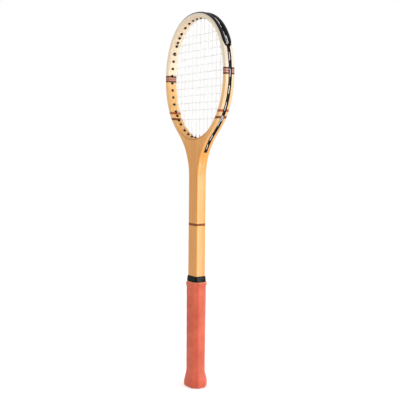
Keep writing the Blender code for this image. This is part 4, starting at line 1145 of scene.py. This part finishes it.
def frame_lengths():
    """Lengths along the whole rail, close together where it bends and at the ends of the groove."""
    half = stretches((0, RAIL_LEAVE, RAIL_BEND, RAIL_FOOT, RAIL_END), (110, 8, 40, 24))
    groove_end = STRIP_END + PIECE_GAP
    half = np.unique(np.round(np.concatenate([half, [groove_end, groove_end + GROOVE_END_STEP]]), 7))
    return np.concatenate([-half[:0:-1], half])


def crown(across):
    """The outer face falls away from its middle as the square of the distance across."""
    return CROWN * (np.asarray(across) / HALF_DEPTH) ** 2


def outer_ply_section(groove):
    """The outermost ply: rounded outer corners and the groove between them, as (across, depth)."""
    inset = HALF_DEPTH - OUTER_EDGE
    left = arc((-inset, OUTER_EDGE), OUTER_EDGE, 180, 270, 7)
    right = arc((inset, OUTER_EDGE), OUTER_EDGE, 270, 360, 7)
    spots = np.linspace(GROOVE_HALF, inset, 6)[:-1]
    flat_right = np.stack([spots, np.zeros(len(spots))], axis=1)
    outer = [np.stack([part[:, 0], part[:, 1] + crown(part[:, 0])], axis=1)
             for part in (left, flat_right[::-1] * (-1, 1), flat_right, right)]
    channel = np.array([(-GROOVE_HALF, groove), (0, groove), (GROOVE_HALF, groove)])
    floor = np.linspace((HALF_DEPTH, OUTER_PLY), (-HALF_DEPTH, OUTER_PLY), 5)
    return np.concatenate([*outer[:2], channel, *outer[2:], floor])


def bent_ply(name, lengths, section, seed, material):
    """A section carried along the rail from one foot to the other. The grain runs the same way, as (length,
    depth, across), and its seed moves it apart from ply to ply."""
    points = carried(lengths, section)
    across, depth = (np.broadcast_to(section[..., axis], points.shape[:2]) for axis in (0, 1))
    along = np.broadcast_to(lengths[:, None], points.shape[:2])
    return swept(name, points, material, np.stack([along + seed, depth + seed * 0.1, across], axis=-1))


def make_outer_ply(material):
    """The outermost ply has its groove as far as the strips go, and none below."""
    lengths = frame_lengths()
    grooved = np.abs(lengths) <= STRIP_END + PIECE_GAP + 1e-6
    section = np.where(grooved[:, None, None], outer_ply_section(GROOVE_DEPTH), outer_ply_section(0.0))
    return bent_ply("outer_ply", lengths, section, 0.0, material)


def make_middle_ply(material):
    """The middle ply: a rectangle with its four corners just broken, under the outermost ply."""
    top, foot = OUTER_PLY + GLUE_LINE, OUTER_PLY + GLUE_LINE + MIDDLE_PLY
    edge = MIDDLE_PLY_EDGE
    back = np.array([(HALF_DEPTH - edge, foot), (HALF_DEPTH, foot - edge), (HALF_DEPTH, top + edge),
                     (HALF_DEPTH - edge, top)])
    section = np.concatenate([back[::-1] * (-1, 1), back])
    return bent_ply("middle_ply", frame_lengths(), section, 3.1, material)


def opening_loop(count):
    """Angles and lengths round the whole opening, evenly spaced, with the left half mirrored."""
    theta = np.linspace(-math.pi / 2, math.pi / 2, 4000)
    length = lengths_along(np.stack(opening(theta)[:2], axis=1))
    spots = np.linspace(0, length[-1], count)
    angles = np.interp(spots, length, theta)
    side = np.concatenate([np.ones(count), -np.ones(count - 2)])
    angles = np.concatenate([angles, angles[-2:0:-1]])
    total = np.concatenate([spots, 2 * length[-1] - spots[-2:0:-1]])
    return angles, side, total


def make_inner_ply(material):
    """The closed innermost ply: rounded corners towards the opening, flat where it meets the next."""
    inset = HALF_DEPTH - INNER_EDGE
    front = arc((-inset, INNER_EDGE), INNER_EDGE, 270, 180, 7)
    back = arc((inset, INNER_EDGE), INNER_EDGE, 0, -90, 7)
    flat = np.array([(INNER_FLAT, 0), (0, 0), (-INNER_FLAT, 0)])
    meeting = [(-HALF_DEPTH, INNER_PLY), (0, INNER_PLY), (HALF_DEPTH, INNER_PLY)]
    section = np.concatenate([back, flat, front, meeting])
    angles, side, total = opening_loop(230)
    x, z, normal_x, normal_z = (value[:, None] for value in opening(angles))
    reach = section[None, :, 1]
    across = np.broadcast_to(section[None, :, 0], (len(angles), len(section)))
    points = np.stack([side[:, None] * (x + reach * normal_x), across, z + reach * normal_z], axis=-1)
    along, into = np.broadcast_arrays(total[:, None] + 7.3, reach + 0.6)
    grain = np.stack([along, into, across], axis=-1)
    return swept("inner_ply", points, material, grain, closed=True, sharp=42)


def make_wedge(material):
    """The throat wedge: rows across, from the hoop's foot to the splice, between the side plies.
    Each row runs from the left flank to the right one; the topmost follow the underside of the hoop."""
    spots = np.linspace(RAIL_LEAVE, RAIL_FOOT, TABLE_SIZE)
    flank_x, flank_z = rail(spots, SHAFT_HALF - CORE_HALF)
    theta = np.linspace(LEAVE, -math.pi / 2, TABLE_SIZE)
    top_x, top_z = opening_offset(theta, INNER_PLY + 0.3 * GLUE_LINE)
    room = np.hypot(flank_x[:, None] - top_x[None], flank_z[:, None] - top_z[None]).min(axis=1)
    start = int(np.argmax((room >= WEDGE_TIP) & (spots > RAIL_LEAVE + WEDGE_TIP)))
    flank_x, flank_z = flank_x[start:], flank_z[start:]
    nearest = int(np.argmin(np.hypot(top_x - flank_x[0], top_z - flank_z[0])))
    share = np.sin(np.linspace(-1, 1, 97) * math.pi / 2)
    upper = np.interp(np.abs(share) * flank_x[0], top_x[nearest:][::-1], top_z[nearest:][::-1])
    lower_x = np.append(flank_x, CORE_HALF)
    lower_z = np.append(flank_z, SPLICE_HEIGHT + GLUE_LINE)
    rows = 1 - (1 - np.linspace(0, 1, 70)[:, None]) ** 0.8
    order = np.arange(len(lower_z))
    spot = np.interp(rows, np.linspace(0, 1, len(lower_z)), order)
    x = share[None, :] * np.interp(spot, order, lower_x)
    z = np.interp(spot, order, lower_z) + (upper[None, :] - upper[0]) * (1 - rows)
    faces = [np.stack([x, np.full(x.shape, y), z], axis=-1).reshape(-1, 3) for y in (-HALF_DEPTH, HALF_DEPTH)]
    index = np.arange(x.size).reshape(x.shape)
    edge = np.concatenate([index[0], index[1:, -1], index[-1, -2::-1], index[-2:0:-1, 0]])
    after = np.roll(edge, -1)
    walls = np.stack([edge, edge + x.size, after + x.size, after], axis=-1)
    sheet = grid_quads(*x.shape, closed_columns=False)
    quads = np.concatenate([sheet, sheet[:, ::-1] + x.size, walls])
    return build_mesh("wedge", np.concatenate(faces), quads, [], material, sharp=30)


# Grommets and guard

def barrel_ends(holes):
    """The ends of the barrels inside the hoop: a lip, a bore and a floor across it, a dark sheet of painted
    shade where the real bore runs on through the wood, for many holes at once. Each is a row of rings about
    the hole's axis, with a radius and a reach along the axis for each ring."""
    mouths = np.array([tuple(hole.mouth) for hole in holes])
    axes = np.array([tuple(hole.axis) for hole in holes])
    bores = np.array([hole.bore() for hole in holes])[:, None]
    outside = bores + BARREL_LIP
    proud, lip = MOUTH_REACH - BARREL_PROUD, BARREL_ROLL
    radii = np.concatenate([outside, outside, outside - lip * 0.3, outside - lip, bores + lip, bores, bores],
                           axis=1)
    reach = np.array([MOUTH_REACH + BARREL_ROOT, proud + lip, proud + lip * 0.3, proud, proud, proud + lip,
                      MOUTH_REACH + BORE_FLOOR])
    cosine, sine = (value[None, :, None] for value in circle(BARREL_SIDES))
    first = np.array([0.0, 1.0, 0.0])
    ring = first * cosine + np.cross(axes, first)[:, None] * sine
    points = (mouths[:, None, None] + axes[:, None, None] * reach[None, :, None, None]
              + radii[:, :, None, None] * ring[:, None])
    starts = np.arange(len(holes)) * len(reach) * BARREL_SIDES
    quads = (grid_quads(len(reach), BARREL_SIDES)[None] + starts[:, None, None]).reshape(-1, 4)
    caps = [cap + start for start in starts for cap in end_caps(len(reach), BARREL_SIDES)]
    return points.reshape(-1, 3), quads, caps


def joined(name, first, second, materials, sharp=50):
    """Two closed surfaces, each given as points, quads and caps, in one piece with a finish for each."""
    shift = len(first[0])
    points = np.concatenate([first[0], second[0]])
    quads = np.concatenate([first[1], second[1] + shift])
    caps = list(first[2]) + [np.asarray(cap) + shift for cap in second[2]]
    piece = build_mesh(name, points, quads, caps, materials[0], sharp=sharp)
    counts = (len(first[1]), len(second[1]), len(first[2]), len(second[2]))
    piece.data.polygons.foreach_set("material_index", np.repeat([0, 1, 0, 1], counts).astype(np.int32))
    piece.data.materials.append(materials[1])
    return piece


def surface_of(points):
    """Points, quads and caps of a section carried along a path, faces outwards."""
    rows, columns = points.shape[:2]
    return outward(points.reshape(-1, 3), grid_quads(rows, columns), end_caps(rows, columns))


def strip_section():
    """A U-shaped strip, flush with the wood, with softly broken lips."""
    lip = STRIP_ROLL
    half = np.array([
        (STRIP_HALF, STRIP_DEPTH), (STRIP_HALF, lip), (STRIP_HALF - lip * 0.4, lip * 0.25),
        (STRIP_HALF - lip, 0), (CHANNEL_HALF + lip, 0), (CHANNEL_HALF + lip * 0.25, lip * 0.3),
        (CHANNEL_HALF, lip), (CHANNEL_HALF, CHANNEL_DEPTH - 2 * lip),
        (CHANNEL_HALF - 2 * lip, CHANNEL_DEPTH)])
    return np.concatenate([half, half[::-1] * (-1, 1)])


def moulded(name, lengths, section, materials, sharp=50):
    """A moulding carried along the rail, in one piece with the barrels of the holes that it covers."""
    holes = [hole for hole in ALL_HOLES if lengths[0] < hole.length < lengths[-1]]
    return joined(name, surface_of(carried(lengths, section)), outward(*barrel_ends(holes)), materials, sharp)


def make_strip(name, side, *materials):
    """The strip's section carried down one side, from the guard's end to past the throat's last hole."""
    lengths = np.linspace(*sorted((side * (GUARD_END + PIECE_GAP), side * STRIP_END)), 130)
    return moulded(name, lengths, strip_section(), materials)


def guard_section(half_width, ridge):
    """Half of the guard is a keel in the groove, a flange on the wood and a rounded ridge; then mirrored.
    The ridge rises as a quarter ellipse from the flange's edge to its crest, then slopes to the slot, and
    all of it sinks with the wood where the corner's arc begins."""
    corner = HALF_DEPTH - OUTER_EDGE
    climb = GUARD_CREST * (1 - np.cos(np.linspace(0, math.pi / 2, 14)))
    share = np.concatenate([climb, np.linspace(GUARD_CREST, 1, 8)[1:]])
    slope = 1 - GUARD_FALL * (np.clip(share - GUARD_CREST, 0, 1) / (1 - GUARD_CREST)) ** 1.7
    rise = np.where(share < GUARD_CREST, np.sqrt(np.clip(1 - (1 - share / GUARD_CREST) ** 2, 0, 1)), slope)
    half_width = half_width - GUARD_TUCK
    across = half_width - (half_width - CHANNEL_HALF) * share
    past_corner = np.clip(across - corner, 0, OUTER_EDGE)
    drop = OUTER_EDGE - np.sqrt(OUTER_EDGE ** 2 - past_corner ** 2) + crown(across)
    dome = np.stack([across, drop - GUARD_EDGE - (ridge - GUARD_EDGE) * rise], axis=1)
    keel = [(STRIP_HALF, STRIP_DEPTH), (STRIP_HALF, -STRIP_FIT),
            (min(corner, half_width - 0.1 * MM), -STRIP_FIT), (half_width, drop[0] - 0.04 * MM)]
    slot = [(CHANNEL_HALF, CHANNEL_DEPTH - GUARD_KEEL_EDGE), (CHANNEL_HALF - GUARD_KEEL_EDGE, CHANNEL_DEPTH)]
    half = np.concatenate([keel, dome, slot])
    return np.concatenate([half, half[::-1] * (-1, 1)])


def make_guard(*materials):
    """The guard's section carried over the tip; it grows from its small ends as a blend of a quarter circle
    and a quarter sine."""
    end, inner = GUARD_END, GUARD_END - GUARD_TAPER
    lengths = stretches((-end, -inner, inner, end), (26, 150, 26))
    inset = np.clip((end - np.abs(lengths)) / GUARD_TAPER, 0, 1)
    share = np.sqrt(np.clip(1 - (1 - inset) ** 2, 0, 1)) * 0.55 + 0.45 * np.sin(inset * math.pi / 2)
    widths = GUARD_TIP_HALF_WIDTH + (GUARD_HALF_WIDTH - GUARD_TIP_HALF_WIDTH) * share
    ridges = GUARD_TIP_RIDGE + (GUARD_RIDGE - GUARD_TIP_RIDGE) * np.clip(share * 1.15, 0, 1)
    section = np.stack([guard_section(width, ridge) for width, ridge in zip(widths, ridges)])
    return moulded("guard", lengths, section, materials, sharp=48)


# Handle

def handle_rings(growth, rounding, steps=4, flats=7):
    """Rings round the bare handle, grown outwards by many distances at once: an octagon with each corner
    eased by an arc. Each corner's arc turns by 45 degrees about a point set in by the rounding."""
    growth = np.asarray(growth, float)[:, None, None]
    wide, deep = HANDLE_HALF_WIDTH + growth - rounding, HANDLE_HALF_DEPTH + growth - rounding
    cut = HANDLE_CHAMFER + growth * CHAMFER_GROWTH - rounding * CHAMFER_GROWTH
    loops = []
    for sign_x, sign_y, start in CORNERS:
        flat = (sign_x * (wide - cut), sign_y * deep)
        flank = (sign_x * wide, sign_y * (deep - cut))
        pair = [flat, flank] if sign_x * sign_y < 0 else [flank, flat]
        for (x, y), begin in zip(pair, (start, start + 45)):
            angle = np.radians(np.linspace(begin, begin + 45, steps))[None, None, :]
            loops.append(np.concatenate([x + rounding * np.cos(angle), y + rounding * np.sin(angle)], axis=1))
    ring = np.stack(loops, axis=1).transpose(0, 1, 3, 2)
    share = np.linspace(0, 1, flats + 2)[1:-1][None, None, :, None]
    after = np.roll(ring, -1, axis=1)[:, :, :1]
    flat = ring[:, :, -1:] + (after - ring[:, :, -1:]) * share
    return np.concatenate([ring, flat], axis=2).reshape(len(ring), -1, 2)


def leather_outside(height):
    """The leather's face over the bare handle: its thickness tapers down to the flare, and the lip is a
    soft step. Near the butt's end the face rounds in as a quarter superellipse."""
    lip_foot = GRIP_TOP - LIP_HEIGHT
    levels = (FLARE_TOP, (FLARE_TOP + lip_foot) / 2, lip_foot)
    thickness = np.interp(height, levels, (LEATHER_LOWER, LEATHER_WAIST, LEATHER_UPPER))
    growth = FLARE_SPREAD * s_curve(np.clip((FLARE_TOP - height) / (FLARE_TOP - FLARE_WIDEST), 0, 1))
    lip = s_curve(np.clip((height - lip_foot + LIP_LEAD) / LIP_SLOPE, 0, 1))
    under = np.clip((BUTT_ROUNDING - height) / (BUTT_ROUNDING - LEATHER_FOOT), 0, 1)
    tuck = BUTT_TUCK * (1 - (1 - under ** BUTT_FULLNESS) ** (1 / BUTT_FULLNESS))
    return LEATHER_FIT + thickness + (LIP_LEATHER - LEATHER_UPPER) * lip + growth - tuck


def make_grip(material):
    """The leather: rounded octagons by height, with a small step where each spiral turn laps the last."""
    foot, shoulder = LEATHER_FOOT, LEATHER_SHOULDER
    straight_end = GRIP_TOP - shoulder
    turn = np.linspace(0, math.pi / 2, 14)
    heights = np.concatenate([
        foot + (BUTT_ROUNDING - foot) * (1 - np.cos(turn))[:-1],
        np.arange(BUTT_ROUNDING, straight_end, LEATHER_RING_STEP), GRIP_TOP - shoulder * np.cos(turn[2:])])
    upper = np.clip((heights - straight_end) / shoulder, 0, 1)
    ring = handle_rings(leather_outside(heights) - shoulder * 0.8 * round_over(upper), LEATHER_CORNER)
    around = lengths_along(np.concatenate([ring[GIRTH_ROW], ring[GIRTH_ROW][:1]]))
    around *= GIRTH / around[-1]
    rise = heights[:, None] / LEATHER_STRIP - around[None, :-1] / GIRTH
    strip = rise - np.floor(rise)
    lap = LEATHER_STEP * (np.clip(strip / LEATHER_LAP_SHARE, 0, 1) * (1 - 0.85 * strip) - 0.5)
    calm = np.clip((GRIP_TOP - LIP_HEIGHT - SEAM_END - heights) / SEAM_RUN_OUT, 0, 1)
    calm = calm * np.clip((heights - SEAM_RUN_IN) / SEAM_RUN_IN, 0, 1)
    ring = ring * (1 + (lap * calm[:, None]) / np.linalg.norm(ring, axis=2))[..., None]
    inner_heights = heights[[-1, len(heights) // 2, 0]]
    inside = handle_rings(LEATHER_FIT + np.array([0, 0, FOOT_GROWTH]), HANDLE_CORNER)
    points = np.concatenate([at_levels(ring, heights), at_levels(inside, inner_heights)])
    quads = grid_quads(*points.shape[:2], closed_rows=True)
    uv = grid_uv(np.concatenate([heights, inner_heights, heights[:1]]), around)
    return build_mesh("leather_grip", points, quads, [], material, uv=uv, sharp=60)


def make_butt_cap(material):
    """The butt's end plate: octagons with eased corners that shrink at a broken edge, and inside them the
    rings of a shallow groove."""
    edge = PLATE_EDGE
    ring = handle_rings(FOOT_GROWTH + np.array([0, 0, -edge * 0.13, -edge * 0.45, -edge]), PLATE_CORNER)
    inner = ring[-1][None] * np.array([0.86, 0.845, 0.8, 0.785])[:, None, None]
    levels = [BUTT_CAP_THICKNESS, 2 * edge, edge, edge * 0.3, 0, 0, PLATE_GROOVE, PLATE_GROOVE, 0]
    return swept("butt_plate", at_levels(np.concatenate([ring, inner]), levels), material, sharp=35)


def make_screw(name, y, material):
    """A countersunk screw head with a slot, as rings from its rim to its middle."""
    radii = np.append(SCREW_HEAD_RADIUS * np.array([0.62, 1.0, 0.98, 0.6, 0.25]), 0.05 * MM)
    heights = SCREW_RECESS + np.array([1.0, 0.35, 0.12, 0.03, 0, 0]) * MM
    x, across, z = turned(radii, heights, SCREW_SIDES)
    slot = (np.abs(across) < SLOT_HALF) & (np.arange(len(radii))[:, None] > 1)
    points = np.stack([x, across + y, z + np.where(slot, SLOT_DEPTH, 0.0)], axis=-1)
    return swept(name, points, material, sharp=25)


def make_tack(name, y, z, material):
    """A domed tack head on the leather, with a short shank, turned about Y."""
    radii = np.array([0.6, 0.6, 2.0, 2.0, 1.85, 1.4, 0.8, 0.05]) * MM
    reach = np.array([-4.0, -0.25, -0.25, 0.0, 0.22, 0.48, 0.64, 0.68]) * MM
    x, height, depth = turned(radii, reach + y, TACK_SIDES)
    return swept(name, np.stack([x, depth, height + z], axis=-1), material, sharp=40)


def rounded_rectangle(half_width, half_depth, rounding, steps=10):
    """A rectangle with round corners, for many sizes at once."""
    half_width, half_depth, rounding = (np.reshape(size, (-1, 1)) for size in
                                        (half_width, half_depth, rounding))
    loops = []
    for sign_x, sign_y, start in CORNERS:
        angle = np.radians(np.linspace(start, start + 90, steps))[None]
        x = sign_x * (half_width - rounding) + rounding * np.cos(angle)
        y = sign_y * (half_depth - rounding) + rounding * np.sin(angle)
        loops.append(np.stack([x, y], axis=-1))
    return np.concatenate(loops, axis=1)


def make_collar(material):
    """The rubber collar: a soft cone from its foot to its top, with rolled edges and a hugging bore."""
    low, high = COLLAR_ROLL_SHARES
    share = np.concatenate([[0, 0.02, 0.06, low], np.linspace(0.18, high, 12), [0.92, 0.96, 0.985, 1.0]])
    tuck = COLLAR_FOOT_ROLL * round_over(np.clip(1 - share / low, 0, 1), 0.999)
    tuck += COLLAR_TOP_ROLL * round_over(np.clip((share - high) / (1 - high), 0, 1), 0.999)
    wall = COLLAR_CLEARANCE + COLLAR_FOOT_WALL + (COLLAR_TOP_WALL - COLLAR_FOOT_WALL) * share ** 1.4 - tuck
    rounding = COLLAR_FOOT_ROUNDING + (COLLAR_TOP_ROUNDING - COLLAR_FOOT_ROUNDING) * share
    outside = rounded_rectangle(SHAFT_HALF + wall, HALF_DEPTH + wall, rounding)
    bore = rounded_rectangle(SHAFT_HALF + COLLAR_CLEARANCE, HALF_DEPTH + COLLAR_CLEARANCE, OUTER_EDGE)
    levels = COLLAR_SEAT + COLLAR_HEIGHT * np.append(share, [1.0, 0.0])
    points = at_levels(np.concatenate([outside, bore, bore]), levels)
    quads = grid_quads(*points.shape[:2], closed_rows=True)
    return build_mesh("collar_rubber", points, quads, [], material, sharp=60)


# Putting it together

# Each wood's light and dark tones, and what else sets it apart
WOODS = {
    # The outer ash ply's tones and cream are set darker as painted shade, against the stronger light on its
    # right face; the inner ply's cream takes a warmer tint of its own
    "ash_lacquered": ((240, 199, 146), (222, 173, 120), dict(bent=True, cream_tint_and_painted_shade=(0.84, 0.84, 0.86))),
    "ash_inner_lacquered": (
        (246, 198, 132), (228, 170, 104), dict(bent=True, lacquer=0.25, cream_tint_and_painted_shade=(0.99, 0.9, 0.82))),
    "beech_lacquered": ((252, 210, 152), (238, 190, 130), dict(bent=True, contrast=0.9)),
    "throat_lacquered": ((252, 200, 120), (234, 166, 88), dict(contrast=1.35, seed=1.7)),
    "core_lacquered": ((252, 200, 122), (234, 166, 90), dict(contrast=1.2, seed=4.2)),
    "handle_wood_bare": ((216, 180, 130), (186, 146, 98), dict(painted=False, lacquer=0.0, seed=2.2)),
}


def place(piece, body, slot, *nodes):
    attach(piece, body)
    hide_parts(*nodes)


def main():
    aim_camera()
    make_studio()
    woods = [make_wood(name, light, dark, **more) for name, (light, dark, more) in WOODS.items()]
    ash, ash_inner, beech, throat, core, raw = woods
    plastic = make_black_plastic("black_nylon", (16, 13, 16), 0.38, gloss=0.16)
    # A darker, matt copy of the black nylon for the barrel ends: painted shade, so that the holes read as
    # black
    barrel_painted_shade = make_black_plastic("grommet_barrels_painted_shade", (6, 5, 6), 0.6, 0.15, gloss=0.04)
    cap_plastic = make_black_plastic("butt_plastic", (34, 30, 32), 0.42, 0.9)
    rubber = make_black_plastic("black_rubber_skin", (13, 10, 13), 0.24, 0.3, 0.08)
    nylon = make_nylon("white_nylon_string", 0.7)
    bight_nylon = make_nylon("white_nylon_bight", 0.08)
    leather = make_leather("terracotta_leather_wound")
    steel = make_steel()

    place(make_outer_ply(ash), "racket", "ash", "hoop_outer_ply")
    place(make_middle_ply(beech), "racket", "beech", "hoop_middle_ply")
    place(make_inner_ply(ash_inner), "racket", "ash", "hoop_inner_ply")
    place(make_wedge(throat), "racket", "beech", "throat_wedge")
    place(make_strip("strip_right", 1, plastic, barrel_painted_shade), "racket", "black_plastic",
          "grommet_strip_right", "throat_liner_3", "throat_liner_4")
    place(make_strip("strip_left", -1, plastic, barrel_painted_shade), "racket", "black_plastic",
          "grommet_strip_left", "throat_liner_1", "throat_liner_2")
    place(make_guard(plastic, barrel_painted_shade), "racket", "black_plastic", "head_guard")
    for name, route, node in (("mains", main_route, "main_string"), ("crosses", cross_route, "cross_string")):
        place(string_tube(name, eased(route()), nylon, bight_nylon), "racket", "nylon", node)
    place(make_grip(leather), "racket", "leather", "grip_wrap")
    place(make_butt_cap(cap_plastic), "racket", "black_plastic", "butt_cap")
    place(make_screw("screw_front", -SCREW_SPACING / 2, steel), "racket", "steel", "butt_screw_front")
    place(make_screw("screw_back", SCREW_SPACING / 2, steel), "racket", "steel", "butt_screw_back")
    for name, node in (("tack_lower", "grip_tack_lower"), ("tack_upper", "grip_tack_upper")):
        top = Vector(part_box(node)[1])
        place(make_tack(name, top.y - TACK_PROUD, top.z - TACK_RADIUS, steel), "racket", "steel", node)
    place(make_collar(rubber), "collar", "black_rubber", "grip_collar")

    kept = dict.fromkeys(("pallet_front", "pallet_back", "pallet_left", "pallet_right", "butt_flare"), raw)
    for node, material in (("shaft_core", core), *kept.items()):
        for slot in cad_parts[node].material_slots:
            slot.material = material

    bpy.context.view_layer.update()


main()
